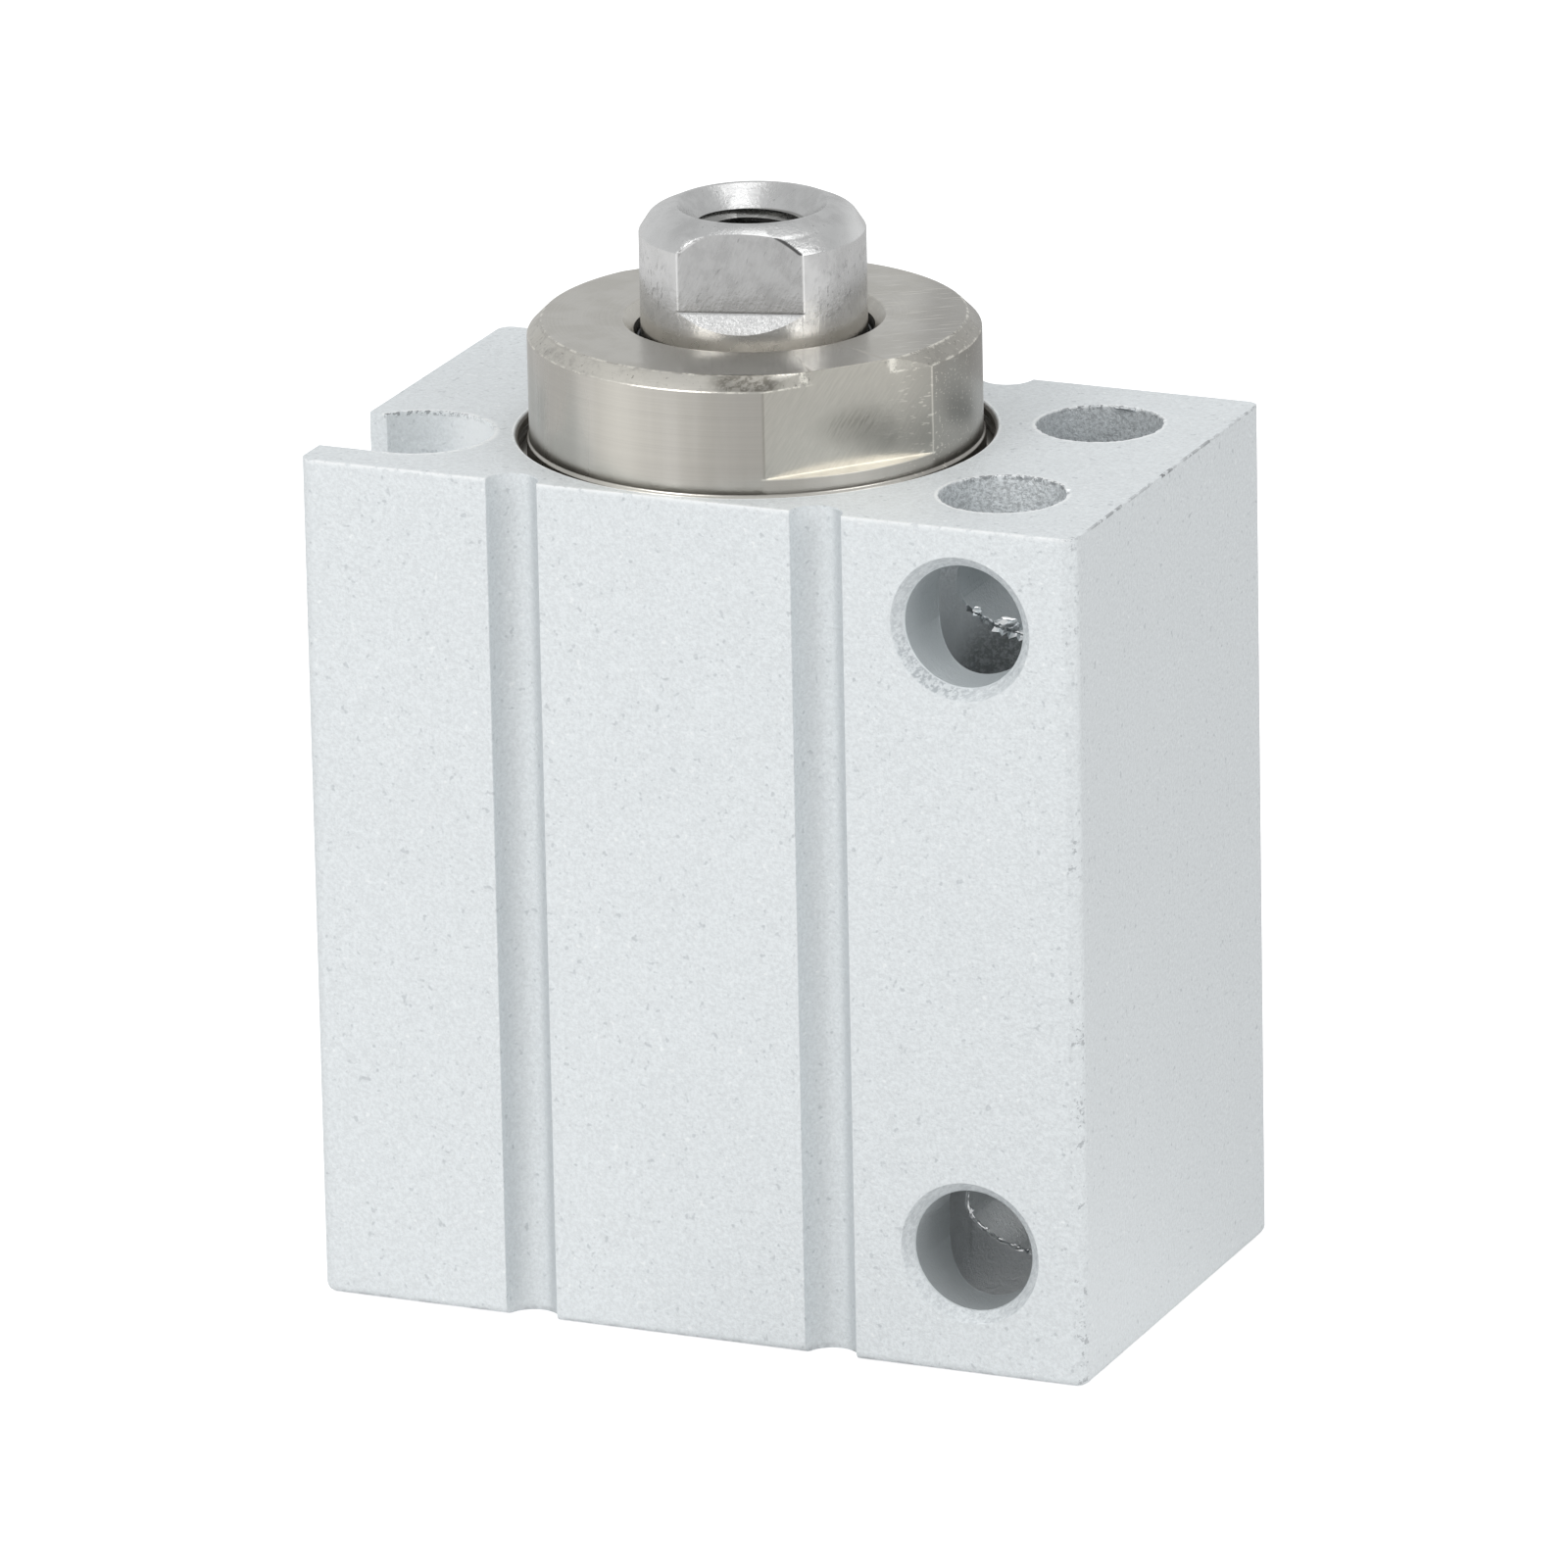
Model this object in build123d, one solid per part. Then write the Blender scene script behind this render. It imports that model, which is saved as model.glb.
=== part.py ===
from build123d import *
import os

# Compact double-acting pneumatic cylinder, in millimetres.
# Origin: the bore axis at the body's rear face. +Z runs out along the rod, -Y is the front
# face and -X is the side of the sensor slot and the two air ports.

# Bore, stroke and rod
bore_d = 16.0
stroke = 10.0
rod_d = 8.0

# Body outline, measured outwards from the bore
side_wall = 0.8            # from the bore to the front and back faces
slot_side = 5.7            # from the bore to the face with the sensor slot
hole_side = 7.6            # from the bore to the face beside the mounting holes
edge_round = 0.4           # upright edges
edge_break = 0.1           # top and bottom outline

# Finger grooves, front and back, all the way up
groove_r = 0.97
groove_sink = 0.97         # depth of the groove's bottom
groove_left = 5.55         # from the bore axis
groove_right = 5.95

# Sensor slot
slot_r = 2.62
slot_inset = 2.7           # slot axis from the side face
slot_front_inset = 4.4     # slot axis from the front face
slot_lip = 0.97            # how far the rear lip reaches over the round slot

# Holes along the rod axis and across it
hole_d = 4.5
hole_spacing = 9.0
hole_inset = 4.4           # from the side face
cross_hole_d = 4.4
cross_hole_inset = 4.3
cross_hole_low = 4.5       # from the rear face
cross_hole_top = 3.65      # from the rod-end face
cross_chamfer = 0.4

# Air ports
port_drill_d = 4.2
port_depth = 4.3
port_chamfer = 0.5
port_offset = 3.5          # from the bore axis towards the back
passage_d = 1.6

# Rod cover
cover_rise = 4.15          # above the body
cover_thread_over = 0.8    # thread diameter over the bore
collar_gap = 0.4           # collar to thread, radially
pocket_open = 0.8          # depth of the open gap round the collar
cover_thread_length = 2.8
undercut_length = 0.4
undercut_depth = 0.35
seal_land = 0.4            # each side of an O-ring groove
port_neck_length = 1.1
port_neck_depth = 0.8
collar_chamfer = 0.5
cover_flat_depth = 0.7
cover_flat_angle = 49.6    # turned from the front towards the hole side
cover_flat_rise = 0.5      # ledge above the body
mouth_wall = 0.65          # open ring round the rod, at the cover's face
mouth_depth = 0.4          # of its cone
throat_wall = 0.25         # gap to the rod below the cone
recess_depth = 0.9

# O-rings
o_ring_section = 1.0
o_ring_groove = 1.2

# Bearing, wiper and rod seal inside the cover
wiper_radial = 1.8
wiper_height = 1.6
wiper_web = 0.65
bush_wall = 1.0
seal_radial = 2.2
seal_height = 2.6
retainer_height = 0.7

# Bumpers
bumper_height = 0.8
bumper_wall = 2.2
bumper_inset = 0.5         # from the neck it sits on
stop_gap = 0.05

# Piston
piston_clear = 0.15
wear_flange = 0.85
wear_width = 1.5
wear_depth = 1.2
magnet_web = 0.55
magnet_height = 2.0
magnet_wall = 1.95
seal_web = 0.4
seal_width = 1.6
piston_seal_depth = 2.0
front_flange = 0.58
spigot_d = 6.0
rod_o_ring_section = 0.85
rod_o_ring_drop = 0.7      # below the piston's front face

# Screw that clamps the piston
screw_d = 4.0
screw_head_d = 7.6
screw_head_height = 2.0
screw_length = 8.0
screw_key = 2.5
screw_key_depth = 1.2
spigot_gap = 0.2

# Head plate and its ring
ring_recess = 0.7
ring_thickness = 0.8
ring_groove_depth = 0.4
ring_radial = 1.0
ring_lug_r = 1.3
ring_lug_hole_d = 1.3
ring_gap = 3.2             # between the lugs' centres

# Rod end
rod_rise = 4.1             # above the cover
nose_height = 0.95
nose_flat_r = 2.65
nose_bulge = 0.22
rod_flat_depth = 0.675
rod_flat_length = 3.1
rod_flat_angle = 15.5      # turned from the front towards the hole side
rod_flat_ramp = 0.6
thread_drill_d = 3.3
thread_depth = 9.0

# Clearances
running_clear = 0.03       # rod in its bush
sliding_clear = 0.05       # seal and wear ring in the bore, lips on the rod
static_clear = 0.01        # pieces that seat without moving
ring_clear = 0.03          # elastic rings in their grooves

# Radii
bore_r = bore_d / 2
rod_r = rod_d / 2
thread_r = bore_r + cover_thread_over / 2
collar_r = thread_r - collar_gap
neck_r = bore_r - port_neck_depth
o_ring_groove_r = bore_r - o_ring_section - 2 * ring_clear
piston_r = bore_r - piston_clear
seal_seat_r = rod_r + seal_radial
wiper_seat_r = rod_r + wiper_radial
bush_r = rod_r + bush_wall
mouth_r = rod_r + mouth_wall
throat_r = rod_r + throat_wall
magnet_hub_r = piston_r - 2 * piston_clear - magnet_wall
spigot_r = spigot_d / 2

# Heights, from the rear face up
ring_z = ring_recess
plate_z = ring_z + ring_thickness
plate_length = 2 * seal_land + o_ring_groove + port_neck_length
plate_top_z = plate_z + plate_length
piston_z = plate_top_z + bumper_height + stop_gap
wear_z = piston_z + wear_flange
magnet_z = wear_z + wear_width + 2 * ring_clear + magnet_web
magnet_top_z = magnet_z + magnet_height
piston_seal_z = magnet_top_z + seal_web
piston_top_z = piston_seal_z + seal_width + 2 * ring_clear + front_flange
cover_z = piston_top_z + stroke + stop_gap + bumper_height
cover_land_z = cover_z + port_neck_length
cover_seat_z = cover_land_z + 2 * seal_land + o_ring_groove
cover_thread_z = cover_seat_z + undercut_length
cover_thread_top_z = cover_thread_z + cover_thread_length
body_height = cover_thread_top_z + pocket_open
cover_top_z = body_height + cover_rise
rod_top_z = cover_top_z + rod_rise

# Body faces
left_x = -(bore_r + slot_side)
right_x = bore_r + hole_side
front_y = -(bore_r + side_wall)
back_y = bore_r + side_wall

overlap = 1.0              # how far a cutter runs past a face


def turned(*points):
    """Solid turned about the bore axis from a closed outline of (radius, height) points."""
    return revolve(make_face(Polyline(*[(r, 0, z) for r, z in points], close=True)), Axis.Z)


def tube(outer_r, inner_r, low_z, high_z):
    """Plain ring about the bore axis."""
    return turned((inner_r, low_z), (outer_r, low_z), (outer_r, high_z), (inner_r, high_z))


def o_ring(centre_r, section, z):
    """Round-section ring about the bore axis, centred at height z."""
    return Pos(0, 0, z) * Torus(centre_r, section / 2)


def flat_cutters(outer_r, flat_r, low_z, high_z, angle, ramp):
    """Two opposite cutters that leave wrench flats flat_r from the axis, with a ramp below."""
    out_r = outer_r + overlap
    drop = ramp * (out_r - flat_r) / (outer_r - flat_r)
    outline = Polyline((0, -flat_r, low_z), (0, -out_r, low_z - drop), (0, -out_r, high_z),
                       (0, -flat_r, high_z), close=True)
    cutter = extrude(make_face(outline), amount=out_r, dir=(1, 0, 0), both=True)
    return [Rot(0, 0, angle + turn) * cutter for turn in (0, 180)]


def body_outline():
    """Section of the body: the block less its grooves and the sensor slot."""
    width, depth = right_x - left_x, back_y - front_y
    block = Pos((left_x + right_x) / 2, 0) * Rectangle(width, depth)
    block = fillet(block.vertices(), edge_round)
    sink = groove_r - groove_sink
    for x in (-groove_left, groove_right):
        block -= Pos(x, front_y - sink) * Circle(groove_r)
        block -= Pos(x, back_y + sink) * Circle(groove_r)
    slot_x, slot_y = left_x + slot_inset, front_y + slot_front_inset
    mouth_low, mouth_high = slot_y - slot_r, slot_y + slot_r - slot_lip
    mouth = Pos((left_x - overlap + slot_x) / 2, (mouth_low + mouth_high) / 2) * Rectangle(
        slot_x - left_x + overlap, mouth_high - mouth_low)
    return block - Pos(slot_x, slot_y) * Circle(slot_r) - mouth


def bore_cavity():
    """The bore with its snap-ring groove and the threaded pocket of the rod cover."""
    groove_r_out = bore_r + ring_groove_depth
    pocket_r = thread_r + static_clear
    groove_low = ring_z - ring_clear
    groove_high = plate_z + ring_clear
    return turned(
        (0, -overlap), (bore_r, -overlap), (bore_r, groove_low), (groove_r_out, groove_low),
        (groove_r_out, groove_high), (bore_r, groove_high), (bore_r, cover_seat_z),
        (pocket_r, cover_seat_z), (pocket_r, body_height + overlap),
        (0, body_height + overlap))


def port_cutter(z):
    """One side port: a chamfered tapping hole and the passage from it into the bore."""
    mouth = Pos(left_x, port_offset, z)
    drill = Cylinder(port_drill_d / 2, 2 * port_depth, rotation=(0, 90, 0))
    sink_r = port_drill_d / 2 + port_chamfer
    sink = Rot(0, 90, 0) * Pos(0, 0, port_chamfer / 2) * Cone(
        sink_r, port_drill_d / 2, port_chamfer)
    reach = slot_side + bore_r / 2
    passage = Pos(reach / 2, 0, 0) * Cylinder(passage_d / 2, reach, rotation=(0, 90, 0))
    return mouth * (drill + sink + passage)


def cross_hole_cutter(z):
    """One hole from front to back, chamfered at both mouths."""
    x = right_x - cross_hole_inset
    depth = back_y - front_y
    radius = cross_hole_d / 2
    cutter = Cylinder(radius, depth + 2 * overlap, rotation=(90, 0, 0))
    for turn in (90, -90):
        cutter += Rot(turn, 0, 0) * Pos(0, 0, depth / 2 - cross_chamfer / 2) * Cone(
            radius, radius + cross_chamfer, cross_chamfer)
    return Pos(x, 0, z) * cutter


def cylinder_body():
    """Extruded block with the bore, ports, grooves, sensor slot and mounting holes."""
    body = extrude(body_outline(), amount=body_height)
    rims = body.faces().sort_by(Axis.Z)
    body = chamfer(rims[0].outer_wire().edges() + rims[-1].outer_wire().edges(), edge_break)
    body -= bore_cavity()
    for side in (-1, 1):
        body -= Pos(right_x - hole_inset, side * hole_spacing / 2, body_height / 2) * Cylinder(
            hole_d / 2, body_height + 2 * overlap)
    for z in (cross_hole_low, body_height - cross_hole_top):
        body -= cross_hole_cutter(z)
    for z in (plate_top_z - port_neck_length / 2, cover_z + port_neck_length / 2):
        body -= port_cutter(z)
    return body


def rod_cover():
    """Screwed cover: collar, thread, O-ring groove and neck outside, seats inside."""
    land_r = bore_r - static_clear
    groove_z = cover_land_z + seal_land
    seat_z = cover_z + retainer_height + seal_height + 2 * ring_clear
    wiper_top = cover_top_z - recess_depth
    wiper_low = wiper_top - wiper_height - 2 * ring_clear
    bush_top = wiper_low - wiper_web
    cover = turned(
        (bush_r, seat_z), (seal_seat_r, seat_z), (seal_seat_r, cover_z), (neck_r, cover_z),
        (neck_r, cover_land_z), (land_r, cover_land_z), (land_r, groove_z),
        (o_ring_groove_r, groove_z), (o_ring_groove_r, groove_z + o_ring_groove),
        (land_r, groove_z + o_ring_groove), (land_r, cover_seat_z),
        (thread_r - undercut_depth - static_clear, cover_seat_z),
        (thread_r - undercut_depth - static_clear, cover_thread_z),
        (thread_r, cover_thread_z), (thread_r, cover_thread_top_z),
        (collar_r, cover_thread_top_z), (collar_r, cover_top_z - collar_chamfer),
        (collar_r - collar_chamfer, cover_top_z), (mouth_r, cover_top_z),
        (throat_r, cover_top_z - mouth_depth), (throat_r, wiper_top),
        (wiper_seat_r, wiper_top), (wiper_seat_r, wiper_low),
        (rod_r + wiper_web / 2, wiper_low), (rod_r + wiper_web / 2, bush_top),
        (bush_r, bush_top))
    flat_low = body_height + cover_flat_rise
    for cutter in flat_cutters(collar_r, collar_r - cover_flat_depth, flat_low,
                               cover_top_z + overlap, cover_flat_angle, 0):
        cover -= cutter
    return cover


def rod_bush():
    """Plain bearing pressed in the cover up to its web."""
    low_z = cover_z + retainer_height + seal_height + 2 * ring_clear
    high_z = cover_top_z - recess_depth - wiper_height - 2 * ring_clear - wiper_web
    return tube(bush_r - static_clear, rod_r + running_clear, low_z, high_z)


def lipped_ring(inner_r, outer_r, low_z, high_z, lip_root, notch):
    """Seal ring with a solid heel and two spread lips that open downwards."""
    middle = (inner_r + outer_r) / 2
    lean = notch / 2
    root_z = low_z + lip_root
    return turned(
        (inner_r, low_z), (middle - notch, low_z), (middle - lean / 2, root_z),
        (middle + lean / 2, root_z), (middle + notch, low_z), (outer_r, low_z),
        (outer_r - lean, root_z), (outer_r - lean, high_z), (inner_r + lean, high_z),
        (inner_r + lean, root_z))


def rod_wiper():
    """Scraper: a heel in the groove and one lip that reaches up and in to the rod."""
    high_z = cover_top_z - recess_depth - ring_clear
    low_z = high_z - wiper_height
    outer_r = wiper_seat_r - ring_clear
    heel_z = low_z + wiper_height / 2
    lip_z = high_z + (recess_depth - mouth_depth) / 2
    lip_r = rod_r + sliding_clear
    back_r = throat_r - ring_clear
    return turned(
        (lip_r + mouth_wall / 2, low_z), (outer_r, low_z), (outer_r, high_z),
        (back_r, high_z), ((lip_r + back_r) / 2, lip_z), (lip_r, lip_z),
        (lip_r + mouth_wall / 3, heel_z))


def rod_seal():
    """U-cup round the rod with its lips towards the pressure."""
    low_z = cover_z + retainer_height + ring_clear
    return lipped_ring(rod_r + sliding_clear, seal_seat_r - ring_clear, low_z,
                       low_z + seal_height, seal_height * 0.6, seal_radial / 6)


def seal_retainer():
    """Washer pressed in the cover's lower end under the rod seal."""
    return tube(seal_seat_r - static_clear, rod_r + mouth_wall / 2, cover_z,
                cover_z + retainer_height)


def bumper(seat_z, direction):
    """Soft ring on a neck's end face, with a rounded free edge."""
    outer_r = neck_r - bumper_inset
    inner_r = outer_r - bumper_wall
    soft = bumper_height / 4
    free_z = seat_z + direction * bumper_height
    shoulder_z = free_z - direction * soft
    return turned((inner_r, seat_z), (outer_r, seat_z), (outer_r, shoulder_z),
                  (outer_r - soft, free_z), (inner_r + soft, free_z), (inner_r, shoulder_z))


def groove_o_ring(groove_z):
    """O-ring in a groove of the cover or the head plate."""
    return o_ring(o_ring_groove_r + ring_clear + o_ring_section / 2, o_ring_section,
                  groove_z + o_ring_groove / 2)


def head_plate():
    """Plate that closes the rear of the bore, with its O-ring groove and upper neck."""
    land_r = bore_r - static_clear
    groove_z = plate_z + seal_land
    shoulder_z = plate_top_z - port_neck_length
    return turned(
        (0, plate_z), (land_r - edge_break, plate_z), (land_r, plate_z + edge_break),
        (land_r, groove_z), (o_ring_groove_r, groove_z),
        (o_ring_groove_r, groove_z + o_ring_groove), (land_r, groove_z + o_ring_groove),
        (land_r, shoulder_z), (neck_r, shoulder_z), (neck_r, plate_top_z), (0, plate_top_z))


def retaining_ring():
    """Internal snap ring: an open band with a drilled lug at each end."""
    outer_r = bore_r + ring_groove_depth - ring_clear
    band = Circle(outer_r) - Circle(outer_r - ring_radial)
    lug_r = outer_r - ring_radial - ring_lug_r / 2
    opening = Pos(0, -outer_r) * Rectangle(ring_gap, 2 * ring_radial + 2 * ring_lug_r)
    ring = band - opening
    lug_y = -(lug_r ** 2 - (ring_gap / 2) ** 2) ** 0.5
    for side in (-1, 1):
        ring += Pos(side * (ring_gap / 2 + ring_lug_r / 3), lug_y) * Circle(ring_lug_r)
    ring = ring & Circle(outer_r)
    for side in (-1, 1):
        ring -= Pos(side * (ring_gap / 2 + ring_lug_r / 3), lug_y) * Circle(ring_lug_hole_d / 2)
    return Pos(0, 0, ring_z) * extrude(ring, amount=ring_thickness)


def magnet_holder():
    """Rear half of the piston: wear-ring groove, magnet hub and countersunk screw hole."""
    groove_r_in = piston_r - wear_depth
    groove_top = wear_z + wear_width + 2 * ring_clear
    hole_r = screw_d / 2 + ring_clear
    sink_r = screw_head_d / 2 + ring_clear
    floor_z = piston_z + screw_head_height + spigot_gap
    return turned(
        (sink_r, piston_z), (piston_r, piston_z), (piston_r, wear_z), (groove_r_in, wear_z),
        (groove_r_in, groove_top), (piston_r, groove_top), (piston_r, magnet_z),
        (magnet_hub_r, magnet_z), (magnet_hub_r, magnet_top_z),
        (spigot_r + static_clear, magnet_top_z), (spigot_r + static_clear, floor_z),
        (hole_r, floor_z), (hole_r, piston_z + screw_head_height))


def piston():
    """Front half of the piston, with the seal groove and the rod's O-ring groove."""
    groove_r_in = piston_r - piston_seal_depth
    groove_top = piston_seal_z + seal_width + 2 * ring_clear
    hole_r = spigot_r + static_clear
    o_high = piston_top_z - rod_o_ring_drop
    o_low = o_high - rod_o_ring_section - 2 * ring_clear
    o_r = spigot_r + rod_o_ring_section + 2 * ring_clear
    return turned(
        (hole_r, magnet_top_z), (piston_r, magnet_top_z), (piston_r, piston_seal_z),
        (groove_r_in, piston_seal_z), (groove_r_in, groove_top), (piston_r, groove_top),
        (piston_r, piston_top_z), (hole_r, piston_top_z), (hole_r, o_high), (o_r, o_high),
        (o_r, o_low), (hole_r, o_low))


def piston_magnet():
    """Ring magnet on the holder's hub, clamped under the front half."""
    return tube(magnet_hub_r + ring_clear + magnet_wall, magnet_hub_r + ring_clear, magnet_z,
                magnet_top_z - ring_clear)


def piston_seal():
    """Elastic seal in the piston's groove, crowned where it meets the bore."""
    inner_r = piston_r - piston_seal_depth + ring_clear
    outer_r = bore_r - sliding_clear
    low_z = piston_seal_z + ring_clear
    high_z = low_z + seal_width
    edge = seal_width / 4
    return turned(
        (inner_r, low_z), (piston_r, low_z), (outer_r, low_z + edge),
        (outer_r, low_z + edge * 1.5), (piston_r, low_z + edge * 2),
        (outer_r, low_z + edge * 2.5), (outer_r, high_z - edge), (piston_r, high_z),
        (inner_r, high_z))


def wear_ring():
    """Guide ring with a slanted split, which lets it spring into its groove."""
    inner_r = piston_r - wear_depth + ring_clear
    outer_r = bore_r - sliding_clear
    low_z = wear_z + ring_clear
    ring = tube(outer_r, inner_r, low_z, low_z + wear_width)
    cut = Rot(30, 0, 0) * Box(2 * wear_depth + overlap, wear_width / 4, 3 * wear_width)
    return ring - Pos((inner_r + outer_r) / 2, 0, low_z + wear_width / 2) * cut


def piston_screw():
    """Countersunk screw with a hexagon socket, from below into the rod's end."""
    head_r, shank_r = screw_head_d / 2, screw_d / 2
    cone_z = piston_z + screw_head_height
    rim = (head_r - shank_r) / screw_head_height * edge_break
    screw = turned(
        (0, piston_z), (head_r - rim, piston_z), (head_r - rim, piston_z + edge_break),
        (shank_r, cone_z), (shank_r, piston_z + screw_length), (0, piston_z + screw_length))
    key = Pos(0, 0, piston_z) * extrude(
        RegularPolygon(screw_key / 2, 6, major_radius=False), amount=screw_key_depth)
    return screw - key


def rod_blank():
    """Turned rod: spigot, shaft and the domed nose with its countersink and drilled thread."""
    spigot_z = piston_z + screw_head_height + 2 * spigot_gap
    low_hole_r = screw_d / 2 + ring_clear
    low_hole_z = piston_z + screw_length + spigot_gap
    nose_z = rod_top_z - nose_height
    drill_r = thread_drill_d / 2
    sink_z = rod_top_z - (nose_flat_r - drill_r)
    run, rise = rod_r - nose_flat_r, nose_height
    chord = (run ** 2 + rise ** 2) ** 0.5
    crown = (rod_r - run / 2 + nose_bulge * rise / chord, nose_z + rise / 2 + nose_bulge * run / chord)
    sides = Polyline(
        (nose_flat_r, 0, rod_top_z), (drill_r, 0, sink_z), (drill_r, 0, rod_top_z - thread_depth),
        (0, 0, rod_top_z - thread_depth - drill_r / 2), (0, 0, low_hole_z + low_hole_r / 2),
        (low_hole_r, 0, low_hole_z), (low_hole_r, 0, spigot_z), (spigot_r, 0, spigot_z),
        (spigot_r, 0, piston_top_z), (rod_r, 0, piston_top_z), (rod_r, 0, nose_z))
    nose = ThreePointArc((rod_r, 0, nose_z), (crown[0], 0, crown[1]), (nose_flat_r, 0, rod_top_z))
    return revolve(make_face(sides + nose), Axis.Z)


def piston_rod():
    """Rod with its two wrench flats below the nose."""
    rod = rod_blank()
    flat_low = rod_top_z - rod_flat_length
    for cutter in flat_cutters(rod_r, rod_r - rod_flat_depth, flat_low, rod_top_z + overlap,
                               rod_flat_angle, rod_flat_ramp):
        rod -= cutter
    return rod


def rod_o_ring():
    """O-ring between the piston's hole and the rod's spigot."""
    section = rod_o_ring_section
    centre_z = piston_top_z - rod_o_ring_drop - section / 2 - ring_clear
    return o_ring(spigot_r + ring_clear + section / 2, section, centre_z)


pieces = {
    "cylinder_body": cylinder_body(),
    "rod_cover": rod_cover(),
    "rod_bush": rod_bush(),
    "rod_wiper": rod_wiper(),
    "rod_seal": rod_seal(),
    "seal_retainer": seal_retainer(),
    "cover_o_ring": groove_o_ring(cover_land_z + seal_land),
    "front_bumper": bumper(cover_z, -1),
    "rear_bumper": bumper(plate_top_z, 1),
    "head_plate": head_plate(),
    "head_o_ring": groove_o_ring(plate_z + seal_land),
    "retaining_ring": retaining_ring(),
    "piston_seal": piston_seal(),
    "wear_ring": wear_ring(),
    "piston_rod": piston_rod(),
    "piston": piston(),
    "magnet_holder": magnet_holder(),
    "piston_magnet": piston_magnet(),
    "rod_o_ring": rod_o_ring(),
    "piston_screw": piston_screw(),
}

os.makedirs("parts", exist_ok=True)
for name, shape in pieces.items():
    export_step(shape, f"parts/{name}.step")
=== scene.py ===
"""Looks of the compact pneumatic cylinder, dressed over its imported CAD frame.

The new pieces are modelled at the bench in millimetres. finish_piece() brings each one to the
frame's metres, gives it its finish and sets it on the body that it moves with.
"""

import logging
import math
import random
from dataclasses import dataclass
from enum import Enum
from functools import reduce
from typing import Callable, Sequence

import bmesh
import bpy
from mathutils import Matrix, Vector


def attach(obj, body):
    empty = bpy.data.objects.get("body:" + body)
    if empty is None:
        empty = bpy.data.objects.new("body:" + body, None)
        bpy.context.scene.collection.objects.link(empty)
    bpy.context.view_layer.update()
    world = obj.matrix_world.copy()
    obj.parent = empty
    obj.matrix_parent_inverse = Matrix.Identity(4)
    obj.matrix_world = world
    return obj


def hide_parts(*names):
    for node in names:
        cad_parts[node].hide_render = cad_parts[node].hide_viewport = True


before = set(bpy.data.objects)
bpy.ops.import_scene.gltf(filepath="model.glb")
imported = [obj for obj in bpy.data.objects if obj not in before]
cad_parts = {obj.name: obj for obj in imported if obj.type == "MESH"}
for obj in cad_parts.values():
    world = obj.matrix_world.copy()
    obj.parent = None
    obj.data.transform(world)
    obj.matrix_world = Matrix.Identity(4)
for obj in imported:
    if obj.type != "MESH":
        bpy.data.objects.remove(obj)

LOG = logging.getLogger("pneumatic_cylinder")
MM = 0.001
MERGE_GAP = 1e-4           # millimetres
SEAM_GAP = 0.001           # points nearer than this count as one in a cut piece, millimetres
PAST = 1.0                 # how far a cutter runs past a face, millimetres
CORE_GAP = 0.06            # how far a thread cutter's core stays inside its drill, millimetres
NEAR = 0.01                # how near a place has to be to count as on a face, millimetres
FACING = 1e-3              # how far the cosine may be off one for a face to count as facing a way
NORMAL_WEIGHT = 80         # pull of the large faces on the shading of the small ones
BURR_STEP_DEG = 3          # run of one piece of a burr, degrees
BORE_STEPS, TURNED_STEPS, DRILL_STEPS, PORT_STEPS = 192, 160, 120, 96  # faces round an axis
GROOVE_STEPS, LUG_STEPS, LUG_HOLE_STEPS = 64, 48, 40

Outline = Sequence[tuple[float, ...]]
Triple = tuple[float, float, float]
Colour = Triple
Pair = tuple[float, float]
Place = Sequence[float]
Piece = bpy.types.Object
Edge = bmesh.types.BMEdge


class Body(Enum):
    """CAD bodies that pieces ride on."""

    CYLINDER = "cylinder"
    ROD = "rod"


class Turn(Enum):
    """Directions that a piece modelled along +Z is laid in, as rotations in degrees."""

    UP = (0.0, 0.0, 0.0)
    FRONT_TO_BACK = (90.0, 0.0, 0.0)
    TO_PORT_SIDE = (0.0, -90.0, 0.0)


@dataclass(frozen=True)
class BlockSize:
    """Sizes that the body's shape, its burrs and its finish share, millimetres."""

    left_x: float = -13.7
    right_x: float = 15.6
    front_y: float = 8.8
    top_z: float = 31.0
    groove_x: Pair = (-5.55, 5.95)
    groove_r: float = 0.97
    slot: Pair = (-11.0, -4.4)
    slot_r: float = 2.62
    pocket_r: float = 8.41
    hole_x: float = 11.2
    hole_y: float = 4.5
    hole_r: float = 2.25
    cross_x: float = 11.3
    cross_z: Pair = (4.5, 27.35)
    cross_r: float = 2.2


@dataclass(frozen=True)
class CoverSize:
    """Sizes that the cover's shape and its finish share, millimetres."""

    collar_r: float = 8.0
    top_z: float = 35.15
    chamfer: float = 0.5
    flat_r: float = 7.3
    flat_low_z: float = 31.5
    flat_angle: float = 49.6


@dataclass(frozen=True)
class RodSize:
    """Sizes that the rod's shape and its finish share, millimetres."""

    radius: float = 4.0
    top_z: float = 39.25
    nose_z: float = 38.3
    nose_top_z: float = 38.89
    nose_r: float = 3.62
    flat_r: float = 3.325
    flat_low_z: float = 36.15
    flat_angle: float = 15.5


BLOCK, COVER, ROD = BlockSize(), CoverSize(), RodSize()


# Bench work


def deselect_all() -> None:
    """Return to object mode with nothing selected."""
    active = bpy.context.view_layer.objects.active
    if active is not None and active.mode != "OBJECT":
        bpy.ops.object.mode_set(mode="OBJECT")
    bpy.ops.object.select_all(action="DESELECT")


def take(piece: Piece) -> None:
    """Make a piece the only one selected."""
    deselect_all()
    piece.select_set(True)
    bpy.context.view_layer.objects.active = piece


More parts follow.
